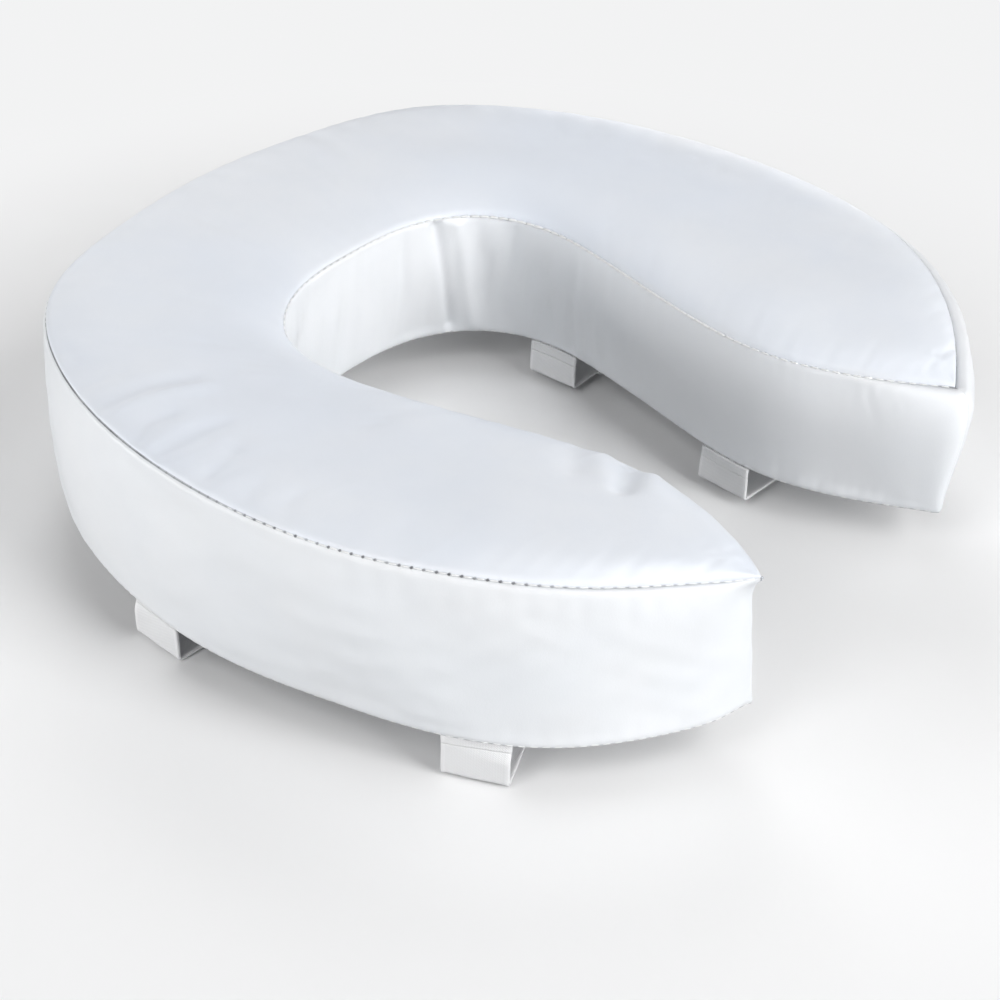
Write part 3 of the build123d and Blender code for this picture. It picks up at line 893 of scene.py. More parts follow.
middle_line = level_curve(OUTER, 0.5)[0][:, :2] * 0.5 + level_curve(INNER, 0.5)[0][:, :2] * 0.5


def from_middle(centre):
    """Plan direction from the horseshoe's middle line to a point in metres."""
    offsets = np.array([centre[0] / MM, centre[1] / MM]) - middle_line
    nearest = offsets[int((offsets ** 2).sum(1).argmin())]
    return (nearest[0], nearest[1], 0)


def face_out(ob, away):
    """Turn the faces so that they look along away(face centre)."""
    facing = sum(p.normal.dot(Vector(away(p.center))) for p in list(ob.data.polygons)[::37])
    if facing < 0:
        ob.data.flip_normals()


face_out(top, lambda centre: (0, 0, 1))
face_out(base, lambda centre: (0, 0, -1))
face_out(outer, from_middle)
face_out(inner, from_middle)


# ------------------------------------------------------------------ foam core
def foam_block():
    """Foam core inside the cover: closed cross sections along the horseshoe."""
    count = 161

    def levels(side, shares):
        return [level_curve(side, f, inset=3.2, cut=5.5, count=count, arcs=0)[0] for f in shares]

    outside = levels(OUTER, np.linspace(0.05, 0.95, 14))
    inside = levels(INNER, np.linspace(0.95, 0.05, 14))
    across = inside[0] - outside[-1]
    widening = np.minimum(1, np.linalg.norm(across, axis=1) / 60)
    crowned = []
    for share in np.linspace(0.04, 0.96, 22):
        curve = outside[-1] + across * share
        curve[:, 2] += 0.6 * CROWN * rise(share) * widening
        crowned.append(curve)
    under = [inside[-1] + (outside[0] - inside[-1]) * v for v in np.linspace(0.06, 0.94, 14)]
    rings = np.array(outside + crowned + inside + under).transpose(1, 0, 2)
    around = rings.shape[1]
    verts, faces = rings.reshape(-1, 3).tolist(), []
    add_rings(faces, 0, count, around)
    for i, order in ((0, 1), (count - 1, -1)):
        centre = len(verts)
        verts.append(rings[i].mean(0).tolist())
        for j in range(around):
            faces.append((i * around + j, i * around + (j + 1) % around, centre)[::order])
    return mesh_object("foam_core_block", verts, faces)


foam = foam_block()

# ------------------------------------------------------------------ stitches
# Rows of (place, thread radius, lift, share of the pitch covered)
OUTER_ROW = (
    (0.0, 0.26, -0.05, 0.92), (0.07, 0.27, 0.0, 0.85), (0.10, 0.30, 0.05, 0.72),
    (0.17, 0.30, 0.0, 0.74), (0.20, 0.24, -0.30, 0.86), (0.25, 0.22, -0.50, 0.9),
    (0.33, 0.22, -0.50, 0.9), (0.38, 0.28, -0.1, 0.85), (0.98, 0.28, 0.0, 0.85),
    (0.99, 0.22, -0.9, 0.85), (1.0, 0.22, -0.9, 0.85))
INNER_ROW = (
    (0.0, 0.28, 0.0, 0.85), (0.40, 0.26, -0.2, 0.85), (0.52, 0.28, -0.1, 0.88),
    (0.595, 0.50, 0.25, 0.95), (0.64, 0.74, 0.50, 0.985), (0.83, 0.74, 0.50, 0.985),
    (0.88, 0.40, 0.18, 0.80), (0.96, 0.36, 0.10, 0.80), (1.0, 0.28, 0.0, 0.85))
BASE_ROW = ((0.0, 0.30, 0.0, 0.80),)
TIP_ROW = ((0.0, 0.18, -0.22, 0.80),)


def stitch_row(name, path, normals, table, sink=0.38):
    """Lockstitches along a path: each one a short thread that dives into its
    needle holes. normals point out of the cover."""
    length = np.r_[0, np.cumsum(np.linalg.norm(np.diff(path, axis=0), axis=1))]
    verts, faces = [], []
    count = int(length[-1] // PITCH)
    margin = (length[-1] - count * PITCH) / 2
    u = np.linspace(-1, 1, 7)
    for i in range(count):
        radius, lift, share = (float(lookup((i + 0.5) / count, table, k)) for k in (1, 2, 3))
        start = margin + i * PITCH + PITCH * (1 - share) / 2 + RNG.uniform(-0.12, 0.12)
        at = np.linspace(start, start + PITCH * share, 7)
        points = interp_columns(at, length, path)
        out = interp_columns(at, length, normals)
        out /= np.linalg.norm(out, axis=1)[:, None]
        points = points + out * (lift + radius * 0.5 - sink * 2.2 * np.abs(u) ** 6)[:, None]
        radii = radius * (0.62 + 0.38 * (1 - np.abs(u) ** 3)) * RNG.uniform(0.93, 1.06)
        add_tube(verts, faces, points, radii, sides=7)
    return mesh_object(name, verts, faces)


def base_stitches(name, grid, band):
    normals = np.concatenate([band.normals[BODY, 0], np.zeros((ALONG, 1))], 1)
    return stitch_row(name, grid[BODY, 0] + np.array([0, 0, 0.5]), normals, BASE_ROW)


def tip_stitches(name, column, sign):
    """Upright row where the two bands meet at a tip."""
    z = np.linspace(2.0, outer_grid[column, -1, 2] - 3.0, 60)
    a, b = outer_grid[column], inner_grid[column]
    path = np.stack([(np.interp(z, a[:, 2], a[:, k]) + np.interp(z, b[:, 2], b[:, k])) / 2
                     for k in (0, 1)] + [z], 1)
    normals = np.tile([-sign * TIP_AXIS[0], -TIP_AXIS[1], 0], (len(path), 1))
    return stitch_row(name, path, normals, TIP_ROW, sink=0.3)


stitches = {
    "seam_thread_top_outer": stitch_row(
        "stitches_top_outer", (top_grid[:, 0] + outer_grid[:, -1])[BODY] / 2,
        OUTER_TOP_CORNER[BODY], OUTER_ROW),
    "seam_thread_top_inner": stitch_row(
        "stitches_top_inner", (top_grid[:, -1] + inner_grid[:, -1])[BODY] / 2,
        INNER_TOP_CORNER[BODY], INNER_ROW),
    "seam_thread_base_outer": base_stitches("stitches_base_outer", outer_grid, outer_band),
    "seam_thread_base_inner": base_stitches("stitches_base_inner", inner_grid, inner_band),
    "seam_thread_tip_left": tip_stitches("stitches_tip_left", 0, -1),
    "seam_thread_tip_right": tip_stitches("stitches_tip_right", -1, 1),
}

# -------------------------------------------------------------------- straps
JOINTS = {joint["name"]: joint for joint in frame["record"]["behaviour"]["joints"]}
BASE_EDGES = {"outer": outer_band.grid[:, 0], "inner": inner_band.grid[:, 0]}


def node_points(node):
    return np.array([v.co for v in frame["nodes"][node].data.vertices]) / MM


class StrapFrame:
    """A strap's own axes: out (away from the body), across its width, up."""

    def __init__(self, key):
        swing = JOINTS["strap_%s_swing" % key]
        self.foot = np.array(swing["pos_m"]) / MM
        self.across = np.array(swing["axis"], float)
        self.out = np.cross([0, 0, 1.0], self.across)
        self.tab_z = JOINTS["strap_%s_fold" % key]["pos_m"][2] / MM
        self.length = -self.outward(node_points("strap_%s_tab" % key)).min()

    def outward(self, points):
        return (points[:, :2] - self.foot[:2]) @ self.out[:2]

    def point(self, out, across, z):
        return (self.foot * (1, 1, 0) + self.out * out + self.across * across
                + np.array([0, 0, 1.0]) * z)

    def edge_gap(self, edge):
        """How far a base edge stands out from the strap's plane, across it."""
        out = self.outward(edge)
        across = (edge[:, :2] - self.foot[:2]) @ self.across[:2]
        near = (np.abs(across) < 24) & (np.abs(out) < 22)
        order = np.argsort(across[near])
        return lambda v: np.interp(v, across[near][order], out[near][order])


def webbing_section():
    """Closed outline across the width: (across, height) points with slightly
    thicker, rounded selvedges."""
    edge_r = 0.55
    flat = STRAP_W / 2 - edge_r
    face = [(v, STRAP_T / 2 * (1 + 0.10 * smooth(STRAP_W / 2 - 2.4, STRAP_W / 2 - 1.2, abs(v))))
            for v in np.linspace(-flat, flat, 29)]

    def selvedge(sign, angles):
        return [(sign * flat + edge_r * math.cos(math.radians(a)),
                 STRAP_T / 2 * math.sin(math.radians(a))) for a in angles]

    return np.array(face + selvedge(1, (60, 20, -20, -60))
                    + [(v, -h) for v, h in reversed(face)]
                    + selvedge(-1, (240, 200, 160, 120)))


def strap_line(fr):
    """Centre line in (out, z), from the base seam to the tab's free end."""
    line = [(-0.1, 0.55 - 0.35 * i) for i in range(3)]
    z = -0.6
    while z > fr.tab_z + FOLD_R + 0.2:
        line.append((0.0, z))
        z -= 0.7
    for angle in np.linspace(0, 90, 9):
        a = math.radians(angle)
        line.append((-FOLD_R + FOLD_R * math.cos(a), fr.tab_z + FOLD_R - FOLD_R * math.sin(a)))
    out = -FOLD_R - 0.9
    while out > -fr.length + 0.5:
        line.append((out, fr.tab_z))
        out -= 0.95
    line.append((-fr.length + 0.05, fr.tab_z))
    return np.array(line)


def webbing_points(fr, line, section, edge):
    gap = fr.edge_gap(edge)
    tangents = np.gradient(line, axis=0)
    tangents /= np.linalg.norm(tangents, axis=1)[:, None]
    normals = np.stack([-tangents[:, 1], tangents[:, 0]], 1)
    corner_r = 5.0
    points = np.zeros((len(line), len(section), 3))
    for i, (line_out, line_z) in enumerate(line):
        to_end = np.hypot(*(line[-1] - line[i]))
        narrowing = 1.0
        if to_end < corner_r:                  # rounded free corners
            bow = math.sqrt(max(0.0, corner_r ** 2 - (corner_r - to_end) ** 2))
            narrowing = (STRAP_W / 2 - corner_r + bow) / (STRAP_W / 2)
        # the top end follows the curved edge of the base
        follow = float(1 - smooth(0.5, 9.0, -line_z)) if line_out > -1.0 else 0.0
        for j, (across, height) in enumerate(section):
            across = across * narrowing
            out, z = line[i] + normals[i] * height
            out += follow * (gap(across) + 0.15 + STRAP_T / 2)
            # the webbing is never quite flat
            if line_out < -4:
                z += 0.22 * math.sin(across * 0.21 + line_out * 0.05) \
                    * float(smooth(4, 20, -line_out)) \
                    * float(1 - smooth(fr.length - 34, fr.length - 24, -line_out))
            else:
                out += 0.10 * math.sin(across * 0.33 + line_z * 0.25) \
                    * float(smooth(0.5, 4, -line_z))
            points[i, j] = fr.point(out, across, z)
    return points


def webbing_object(name, points, section, lengths):
    count, around = points.shape[:2]
    faces = []
    add_rings(faces, 0, count, around)
    # ends: strips across the width, from one selvedge round to the other
    for i in (0, count - 1):
        for k in range(-2, around // 2 - 3):
            strip = [i * around + q % around
                     for q in (k, k + 1, around - 6 - k, around - 5 - k)]
            faces.append(tuple(strip[::-1] if i == 0 else strip))
    faces = [face for face in faces if len(set(face)) == len(face)]
    ob = mesh_object(name, points.reshape(-1, 3), faces)
    set_attribute(ob, "web_v", np.tile(section[:, 0], count))
    set_attribute(ob, "web_s", np.repeat(lengths, around))
    return ob


def strap_webbing(fr, key, which):
    """The strap in two pieces: its root at the seam, and the rest."""
    skip_draws(10)
    line, section = strap_line(fr), webbing_section()
    points = webbing_points(fr, line, section, BASE_EDGES[which])
    lengths = arc_length(line)
    cut = next(i for i, (_, z) in enumerate(line) if z < -3.6)
    root = webbing_object("webbing_%s_root" % key, points[:cut + 1], section, lengths[:cut + 1])
    rest = webbing_object("webbing_" + key, points[cut:], section, lengths[cut:])
    return root, rest


def add_backing(verts, faces, put, half, low, high):
    """Rounded woven pad between two heights."""
    corner_r = 2.0
    outline = []
    for sx, sy, start in ((1, 1, 0), (-1, 1, 90), (-1, -1, 180), (1, -1, 270)):
        for angle in np.linspace(start, start + 90, 6):
            outline.append((sx * (half - corner_r) + corner_r * math.cos(math.radians(angle)),
                            sy * (half - corner_r) + corner_r * math.sin(math.radians(angle))))
    for scale, z in ((0.97, low), (1.0, low + 0.14), (1.0, high - 0.14), (0.97, high)):
        for a, b in outline:
            verts.append(put(a * scale, b * scale, z))
    count = len(outline)
    add_rings(faces, 0, 4, count)
    faces.append(tuple(range(count))[::-1])
    faces.append(tuple(range(3 * count, 4 * count)))


def add_loops(verts, faces, put, half, z):
    """Loop pile: bent filaments in a random lie."""
    for _ in range(420):
        a, b = RNG.uniform(-half + 1.2, half - 1.2, 2)
        turn = RNG.uniform(0, math.pi)
        radius = RNG.uniform(0.35, 0.55)
        height = RNG.uniform(0.34, 0.5)
        path = [put(a + radius * math.cos(t) * math.cos(turn),
                    b + radius * math.cos(t) * math.sin(turn),
                    z - 0.04 + height * math.sin(t)) for t in np.linspace(0, math.pi, 6)]
        add_tube(verts, faces, path, [0.055] * 6, sides=4)


# one hook: (offset along its row's facing, height, radius)
HOOK = ((0.0, 0.05, 0.15), (0.0, -0.25, 0.11), (0.10, -0.42, 0.10), (0.34, -0.46, 0.09),
        (0.42, -0.30, 0.06))


def add_hooks(verts, faces, put, half, z):
    """Moulded hooks in rows, every second row facing the other way."""
    places = np.arange(-half + 1.6, half - 1.0, 1.45)
    for i, a in enumerate(places):
        facing = 1 if i % 2 else -1
        for b in places:
            path = [put(a + facing * shift, b, z + height) for shift, height, _ in HOOK]
            add_tube(verts, faces, path, [radius for _, _, radius in HOOK], sides=5)


def box_stitch(name, put, half, z, outward):
    """Square of stitches with a cross in it, standing out of a strap face."""
    verts, faces = [], []
    sw, se, ne, nw = (-half, -half), (half, -half), (half, half), (-half, half)
    for (a0, b0), (a1, b1) in ((sw, se), (se, ne), (ne, nw), (nw, sw), (sw, ne), (nw, se)):
        count = int(round(math.hypot(a1 - a0, b1 - b0) / 2.6))
        for i in range(count):
            start, end = (i + 0.12) / count, (i + 0.88) / count
            path, radii = [], []
            for t in np.linspace(0, 1, 5):
                share = start + (end - start) * t
                edge = abs(2 * t - 1)
                path.append(put(a0 + (a1 - a0) * share, b0 + (b1 - b0) * share,
                                z + outward * (0.13 - 0.20 * edge ** 5)))
                radii.append(0.17 * (1 - 0.35 * edge ** 3))
            add_tube(verts, faces, path, radii, sides=6)
    return mesh_object(name, verts, faces)


def strap_patch(fr, key, which, node):
    """Hook or loop patch at a tab's free end, and the box stitch on the
    tab's other face."""
    points = node_points(node)
    out = fr.outward(points)
    centre, half = (out.min() + out.max()) / 2, (out.max() - out.min()) / 2
    low, high = points[:, 2].min(), points[:, 2].max()
    backing_t = 0.55

    def put(a, b, z):
        return fr.point(centre + a, b, z)

    verts, faces = [], []
    if which == "outer":
        add_backing(verts, faces, put, half, low, low + backing_t)
        add_loops(verts, faces, put, half, low + backing_t)
        outward = -1
    else:
        add_backing(verts, faces, put, half, high - backing_t, high)
        add_hooks(verts, faces, put, half, high - backing_t)
        outward = 1
    pad = mesh_object(node + "_tape", verts, faces)
    stitching = box_stitch("box_stitch_" + key, put, half - 1.8,
                           fr.tab_z + outward * STRAP_T / 2, outward)
    return pad, stitching


straps = []
for end_name in ("front", "rear"):
    for side_name in ("left", "right"):
        for which in ("outer", "inner"):
            key = "%s_%s_%s" % (end_name, side_name, which)
            node = "%s_patch_%s_%s" % ("loop" if which == "outer" else "hook",
                                       end_name, side_name)
            fr = StrapFrame(key)
            straps.append((key, which, node, fr, *strap_webbing(fr, key, which),
                           *strap_patch(fr, key, which, node)))


# ----------------------------------------------------------------- materials
class Shader:
    """A material with a principled surface, and short calls for its nodes."""

    def __init__(self, name):
        self.material = bpy.data.materials.new(name)
        self.material.use_nodes = True
        self.tree = self.material.node_tree
        self.tree.nodes.clear()
        self.output = self.node("ShaderNodeOutputMaterial")
        self.surface = self.node("ShaderNodeBsdfPrincipled")
        self.put(self.output.inputs[0], self.surface.outputs[0])
        self.coords = self.node("ShaderNodeTexCoord").outputs["Object"]

    def node(self, kind, **settings):
        node = self.tree.nodes.new(kind)
        for key, value in settings.items():
            setattr(node, key, value)
        return node

    def put(self, socket, value):
        if isinstance(value, bpy.types.NodeSocket):
            self.tree.links.new(value, socket)
        else:
            socket.default_value = value

    def set(self, name, value):
        self.put(self.surface.inputs[name], value)

    def math(self, operation, a, b=0.0):
        node = self.node("ShaderNodeMath", operation=operation)
        self.put(node.inputs[0], a)
        self.put(node.inputs[1], b)
        return node.outputs[0]

    def mul(self, first, *others):
        for value in others:
            first = self.math("MULTIPLY", first, value)
        return first

    def attr(self, name):
        return self.node("ShaderNodeAttribute", attribute_name=name).outputs["Fac"]

    def noise(self, scale, detail=3.0, rough=0.5):
        node = self.node("ShaderNodeTexNoise")
        self.put(node.inputs["Vector"], self.coords)
        self.put(node.inputs["Scale"], scale)
        self.put(node.inputs["Detail"], detail)
        self.put(node.inputs["Roughness"], rough)
        return node.outputs["Fac"]

    def voronoi(self, scale, feature="F1"):
        node = self.node("ShaderNodeTexVoronoi", feature=feature)
        self.put(node.inputs["Vector"], self.coords)
        self.put(node.inputs["Scale"], scale)
        return node.outputs["Distance"]

    def ramp(self, value, start, end, low=0.0, high=1.0):
        """Smooth step from low to high while value runs from start to end."""
        node = self.node("ShaderNodeMapRange", interpolation_type="SMOOTHSTEP")
        for key, number in (("Value", value), ("From Min", start), ("From Max", end),
                            ("To Min", low), ("To Max", high)):
            self.put(node.inputs[key], number)
        return node.outputs["Result"]

    def mix(self, factor, a, b):
        node = self.node("ShaderNodeMix", data_type="RGBA", blend_type="MIX")
        self.put(node.inputs["Factor"], factor)
        self.put(node.inputs[6], a)
        self.put(node.inputs[7], b)
        return node.outputs[2]

    def bump(self, height, strength, distance, normal=None):
        """distance in metres."""
        node = self.node("ShaderNodeBump")
        self.put(node.inputs["Strength"], strength)
        self.put(node.inputs["Distance"], distance)
        self.put(node.inputs["Height"], height)
        if normal is not None:
            self.put(node.inputs["Normal"], normal)
        return node.outputs["Normal"]


def darker(color, factor):
    return tuple(c * factor for c in color[:3]) + (1,)


def vinyl(name, color, tint, rough, grain=0.10):
    s = Shader(name)
    distance, along = s.attr("seam_d"), s.attr("seam_s")
    col = s.mix(s.ramp(s.noise(scale=9.0, rough=0.55), start=0.32, end=0.68), color, tint)
    # faint mottling of the plastic coat
    mottle = s.ramp(s.noise(scale=60.0, detail=4, rough=0.6), start=0.35, end=0.75, high=0.22)
    col = s.mix(mottle, col, darker(color, 0.965))
    # painted shade along the seams, broken up by noise
    seam_shade_paint = s.mul(s.ramp(distance, start=0.0, end=5.0, low=1.0, high=0.0),
                  s.ramp(s.noise(scale=26.0, rough=0.6), start=0.42, end=0.7))
    col = s.mix(s.mul(seam_shade_paint, 0.30), col, (0.70, 0.70, 0.69, 1))
    # painted shade: the seam line darkened as shade in its groove, and its needle holes darkened
    # as shade inside them
    line = s.mul(s.ramp(distance, start=0.25, end=0.75, low=1.0, high=0.0),
                 s.attr("seam_line_shade"))
    vary = s.ramp(s.noise(scale=40.0, detail=2), start=0.36, end=0.62, low=0.6)
    seam_shade_strength = 0.85
    col = s.mix(s.mul(line, vary, seam_shade_strength), col, (0.10, 0.105, 0.115, 1))
    # needle holes: painted shade inside each hole, one per stitch; the same mask dents the holes
    # in the bump below
    phase = s.math("FRACT", s.math("DIVIDE", along, PITCH))
    centred = s.math("ABSOLUTE", s.math("SUBTRACT", phase, 0.5))
    to_hole = s.mul(s.math("SUBTRACT", 0.5, centred), PITCH)
    radius = s.math("SQRT", s.math("ADD", s.mul(to_hole, to_hole),
                                   s.mul(distance, distance, 0.8)))
    hole = s.mul(s.ramp(radius, start=0.36, end=0.74, low=1.0, high=0.0),
                 s.attr("seam_hole_shade"),
                 s.ramp(s.noise(scale=110.0, detail=1), start=0.30, end=0.55, low=0.35))
    col = s.mix(s.mul(hole, 0.72), col, (0.05, 0.05, 0.06, 1))
    s.set("Base Color", col)
    # the lips of the seams are polished
    lip = s.mul(s.ramp(distance, start=1.0, end=3.0),
                s.ramp(distance, start=4.0, end=9.0, low=1.0, high=0.0))
    uneven = s.mul(s.noise(scale=35.0, detail=4, rough=0.6), 0.12)
    s.set("Roughness", s.math("SUBTRACT", s.math("ADD", rough - 0.05, uneven),
                              s.mul(lip, 0.06)))
    s.set("Specular IOR Level", 0.45)
    s.set("Coat Weight", 0.04)
    s.set("Coat Roughness", 0.32)
    s.set("Sheen Weight", 0.05)
    # fine leather grain: pebbles with creases between them, and pores
    pebbles = s.ramp(s.voronoi(scale=760.0, feature="DISTANCE_TO_EDGE"), start=0.0, end=0.16)
    pores = s.noise(scale=900.0, detail=2)
    relief = s.math("ADD", s.mul(pebbles, 0.75), s.mul(pores, 0.35))
    normal = s.bump(relief, strength=grain, distance=0.0002)
    normal = s.bump(s.noise(scale=120.0, rough=0.55), strength=0.10, distance=0.0006,
                    normal=normal)
    s.set("Normal", s.bump(s.mul(hole, -1.0), strength=0.5, distance=0.0005, normal=normal))
    return s.material


def thread(name, color):
    s = Shader(name)
    wave = s.node("ShaderNodeTexWave", wave_type="BANDS", bands_direction="DIAGONAL")
    s.put(wave.inputs["Vector"], s.coords)
    s.put(wave.inputs["Scale"], 900.0)
    s.put(wave.inputs["Distortion"], 1.0)
    twist = wave.outputs["Fac"]
    s.set("Base Color", s.mix(twist, darker(color, 0.80), color))
    s.set("Roughness", s.ramp(s.noise(scale=400.0), start=0.3, end=0.7, low=0.55, high=0.75))
    s.set("Sheen Weight", 0.35)
    s.set("Normal", s.bump(twist, strength=0.5, distance=0.0001))
    return s.material


def webbing(name, color):
    """Plain-weave tape from the strap's own length and width coordinates."""
    s = Shader(name)
    warp_pitch, weft_pitch = 1.1, 0.8
    across, along = s.attr("web_v"), s.attr("web_s")
    warp = s.math("SINE", s.mul(across, 2 * math.pi / warp_pitch))
    weft = s.math("SINE", s.mul(along, 2 * math.pi / weft_pitch))
    weave = s.ramp(s.mul(warp, weft), start=-1.0, end=1.0)
    rib = s.ramp(warp, start=-1.0, end=1.0)
    edge = s.ramp(s.math("ABSOLUTE", across), start=STRAP_W / 2 - 2.2, end=STRAP_W / 2 - 1.4)
    dirt = s.ramp(s.noise(scale=55.0, detail=4, rough=0.6), start=0.4, end=0.75, high=0.25)
    col = s.mix(weave, darker(color, 0.86), color)
    col = s.mix(dirt, col, (0.72, 0.73, 0.75, 1))
    s.set("Base Color", s.mix(s.mul(edge, 0.3), col, (0.95, 0.95, 0.96, 1)))
    s.set("Roughness", s.ramp(s.noise(scale=200.0), start=0.3, end=0.7, low=0.62, high=0.82))
    s.set("Sheen Weight", 0.25)
    relief = s.math("ADD", s.mul(weave, 0.7), s.mul(rib, 0.3))
    s.set("Normal", s.bump(relief, strength=0.55, distance=0.00022))
    return s.material


def tape(name, color, rough):
    s = Shader(name)
    fuzz = s.noise(scale=1400.0, rough=0.6)
    col = s.mix(s.ramp(fuzz, start=0.3, end=0.7), darker(color, 0.85), color)
    dirt = s.ramp(s.noise(scale=120.0), start=0.45, end=0.7, high=0.2)
    s.set("Base Color", s.mix(dirt, col, (0.66, 0.66, 0.67, 1)))
    s.set("Roughness", s.ramp(fuzz, start=0.3, end=0.7, low=rough - 0.1, high=rough + 0.08))
    s.set("Sheen Weight", 0.4)
    s.set("Normal", s.bump(fuzz, strength=0.4, distance=0.0002))
    return s.material


def open_cell_foam(name):
    s = Shader(name)
    cells = s.voronoi(scale=1100.0)
    blotch = s.noise(scale=300.0, detail=4, rough=0.6)
    col = s.mix(s.ramp(cells, start=0.05, end=0.5), (0.62, 0.56, 0.42, 1), (0.90, 0.86, 0.74, 1))
    col = s.mix(s.ramp(blotch, start=0.4, end=0.7, high=0.3), col, (0.80, 0.74, 0.58, 1))
    s.set("Base Color", col)
    s.set("Roughness", s.ramp(blotch, start=0.3, end=0.7, low=0.85, high=0.98))
    s.set("Normal", s.bump(cells, strength=0.8, distance=0.0004))
    return s.material


def pale_floor(name):
    s = Shader(name)
    tone = s.noise(scale=3.0)
    pale = s.mix(tone, (0.90, 0.90, 0.905, 1), (0.93, 0.93, 0.93, 1))
    to_camera = s.node("ShaderNodeLightPath").outputs["Is Camera Ray"]
    # it looks pale but throws little light back up
    s.set("Base Color", s.mix(to_camera, (0.40, 0.405, 0.41, 1), pale))
    s.set("Roughness", s.ramp(s.noise(scale=40.0), start=0.3, end=0.7, low=0.6, high=0.75))
    s.set("Specular IOR Level", 0.2)
    # away from the cushion the floor runs out into an even pale sweep
    sweep = s.node("ShaderNodeEmission")
    s.put(sweep.inputs["Color"], s.mix(tone, (0.885, 0.89, 0.895, 1), (0.90, 0.90, 0.905, 1)))
    split = s.node("ShaderNodeSeparateXYZ")
    s.put(split.inputs[0], s.coords)
    x, y = split.outputs[0], split.outputs[1]
    radius = s.math("SQRT", s.math("ADD", s.mul(x, x), s.mul(y, y)))
    swept = s.node("ShaderNodeMixShader")
    s.put(swept.inputs[0], s.mul(s.ramp(radius, start=0.24, end=0.46), to_camera))
    s.put(swept.inputs[1], s.surface.outputs[0])
    s.put(swept.inputs[2], sweep.outputs[0])
    # seen from beneath, the floor is left out so the underside shows
    beneath = s.node("ShaderNodeNewGeometry").outputs["Backfacing"]
    clear = s.node("ShaderNodeBsdfTransparent")
    final = s.node("ShaderNodeMixShader")
    s.put(final.inputs[0], s.mul(beneath, to_camera))
    s.put(final.inputs[1], swept.outputs[0])
    s.put(final.inputs[2], clear.outputs[0])
    s.put(s.output.inputs[0], final.outputs[0])
    return s.material


# Lit and shaded copies of one white vinyl: the top's darker, bluer colour is painted shade with a
# cool skylight tint, and the inner band is painted lighter than the outer band
VINYL_TOP = vinyl("vinyl_top", color=(0.752, 0.794, 0.866, 1), tint=(0.792, 0.820, 0.868, 1),
                  rough=0.50)
VINYL_OUTER = vinyl("vinyl_outer_band", color=(0.808, 0.832, 0.862, 1),
                    tint=(0.828, 0.842, 0.862, 1), rough=0.46)
VINYL_INNER = vinyl("vinyl_inner_band", color=(0.868, 0.893, 0.925, 1),
                    tint=(0.888, 0.903, 0.925, 1), rough=0.46)
VINYL_BASE = vinyl("vinyl_base", color=(0.76, 0.77, 0.79, 1), tint=(0.80, 0.80, 0.81, 1),
                   rough=0.6, grain=0.35)
THREAD = thread("thread_white", color=(0.955, 0.96, 0.965, 1))
WEBBING = webbing("webbing_white", color=(0.86, 0.865, 0.875, 1))
LOOP = tape("loop_pile", color=(0.84, 0.84, 0.85, 1), rough=0.85)
HOOK_TAPE = tape("hook_tape", color=(0.78, 0.79, 0.81, 1), rough=0.5)
FOAM = open_cell_foam("foam_open_cell")
FLOOR = pale_floor("floor_pale")


def paint(ob, material):
    ob.data.materials.clear()
    ob.data.materials.append(material)


body_parts = [(top, VINYL_TOP, "vinyl_top", "top_panel"),
              (outer, VINYL_OUTER, "vinyl_band", "outer_band"),
              (inner, VINYL_INNER, "vinyl_band", "inner_band"),
              (base, VINYL_BASE, "vinyl_base", "base_panel"),
              (foam, FOAM, "foam", "foam_core")]
body_parts += [(ob, THREAD, "thread", node) for node, ob in stitches.items()]
for ob, material, slot, node in body_parts:
    paint(ob, material)
    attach(ob, "root")
    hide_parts(node)

for key, which, node, fr, root, rest, pad, stitching in straps:
    strap = "strap_" + key
    foot = Vector((fr.foot[0], fr.foot[1], 0)) * MM
    for ob in (root, rest):
        paint(ob, WEBBING)
    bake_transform(root)
    # the fold's end: past the bend, at the tab's height
    bend = FOLD_R + 0.6
    fold_end = foot - Vector(fr.out) * (bend * MM) + Vector((0, 0, fr.tab_z * MM))
    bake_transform(rest)
    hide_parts(strap + "_drop", strap + "_tab")
    tape_look = (LOOP, "loop_tape") if which == "outer" else (HOOK_TAPE, "hook_tape")
    for ob, (material, slot), replaced in (
            (pad, tape_look, node),
            (stitching, (THREAD, "thread"), "patch_stitching_" + key)):
        paint(ob, material)
        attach(ob, strap + "_end")
        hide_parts(replaced)

# ------------------------------------- floor, lights, world, camera (metres)
FLOOR_HALF = 6
FLOOR_Z = CAD_LO.z - 0.0004
floor_mesh = bpy.data.meshes.new("floor")
floor_mesh.from_pydata([(x * FLOOR_HALF, y * FLOOR_HALF, FLOOR_Z)
                        for x, y in ((-1, -1), (1, -1), (1, 1), (-1, 1))], [], [(0, 1, 2, 3)])
floor = link("floor", floor_mesh)
paint(floor, FLOOR)

# name, elevation and azimuth (degrees; 0 is the front, 90 the right), watts
LIGHTS = (
    ("front_low", 18, 0, 16.1), ("front_high", 45, 0, 9.9), ("front_floor", 3, 0, 6.9),
    ("left_high", 45, 270, 8.2), ("left_floor", 3, 270, 10.2),
    ("left_rear_floor", 3, 225, 19.1), ("right_rear_high", 45, 135, 5.9),
    ("right_rear", 18, 150, 6.1), ("right_front", 45, 45, 2.3),
    ("right_low", 18, 60, 3.4), ("right_floor", 3, 115, 7.5))
LIGHT_TARGET = Vector((0, 0, 0.04))
LIGHT_DISTANCE, LIGHT_SIZE = 1.8, 0.8


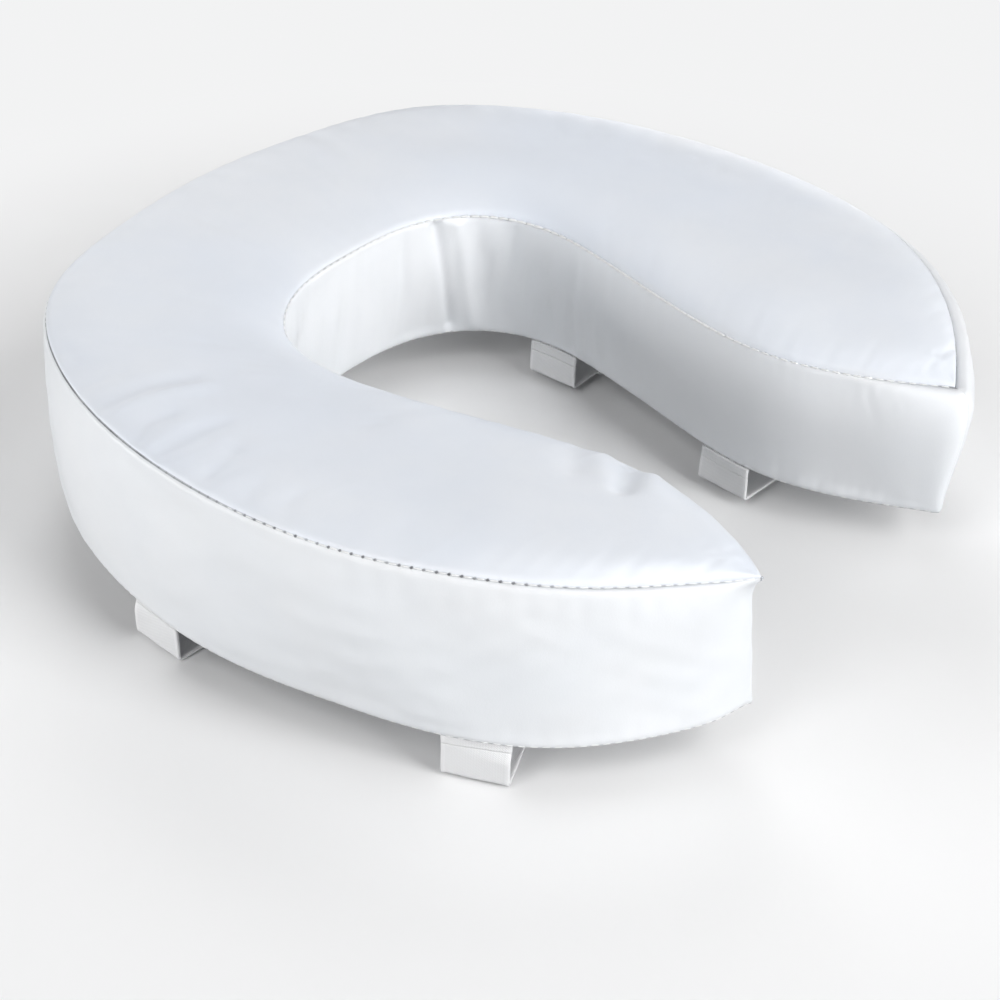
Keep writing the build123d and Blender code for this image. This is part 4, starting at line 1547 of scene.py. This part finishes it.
def area_light(name, elevation, azimuth, watts):
    light = bpy.data.lights.new(name, "AREA")
    light.shape = "RECTANGLE"
    light.size = light.size_y = LIGHT_SIZE
    light.energy = watts
    light.color = (1.0, 1.0, 1.0)
    ob = link(name, light)
    el, az = math.radians(elevation), math.radians(azimuth)
    direction = Vector((math.sin(az) * math.cos(el), -math.cos(az) * math.cos(el),
                        math.sin(el)))
    place = LIGHT_TARGET + direction * LIGHT_DISTANCE
    ob.location = place
    ob.rotation_mode = "QUATERNION"
    ob.rotation_quaternion = (LIGHT_TARGET - place).to_track_quat("-Z", "Y")


for light_row in LIGHTS:
    area_light(*light_row)


def studio_world():
    """Dim to the scene, pale to the camera."""
    world = bpy.data.worlds.new("studio")
    SCENE.world = world
    world.use_nodes = True
    tree = world.node_tree
    tree.nodes.clear()
    output = tree.nodes.new("ShaderNodeOutputWorld")
    mix = tree.nodes.new("ShaderNodeMixShader")
    path = tree.nodes.new("ShaderNodeLightPath")
    tree.links.new(path.outputs["Is Camera Ray"], mix.inputs[0])
    for i, color, strength in ((1, (0.95, 0.97, 1.0, 1), 0.03), (2, (0.892, 0.895, 0.90, 1), 1.0)):
        background = tree.nodes.new("ShaderNodeBackground")
        background.inputs[0].default_value = color
        background.inputs[1].default_value = strength
        tree.links.new(background.outputs[0], mix.inputs[i])
    tree.links.new(mix.outputs[0], output.inputs[0])


studio_world()
SCENE.view_settings.view_transform = "Standard"
SCENE.view_settings.look = "None"
SCENE.view_settings.exposure = 0.0

CAMERA_PLACE = (-0.6000016, -0.4521994, 0.5142689)
CAMERA_RIGHT = Vector((0.614094, -0.788890, 0.023288))
CAMERA_BACK = Vector((-0.646941, -0.486257, 0.587385))
lens = bpy.data.cameras.new("camera")
lens.lens, lens.sensor_width = 70.3017, 36.0
lens.clip_start, lens.clip_end = 0.02, 40
camera = link("camera", lens)
back = CAMERA_BACK.normalized()
right = (CAMERA_RIGHT - back * CAMERA_RIGHT.dot(back)).normalized()
camera_up = back.cross(right)
camera.matrix_world = Matrix([(right[i], camera_up[i], back[i], CAMERA_PLACE[i])
                              for i in range(3)] + [(0, 0, 0, 1)])
SCENE.camera = camera

# the few points of the base that fall together at the tips become one
bm = bmesh.new()
bm.from_mesh(base.data)
bmesh.ops.remove_doubles(bm, verts=bm.verts, dist=2e-6)
bm.to_mesh(base.data)
bm.free()
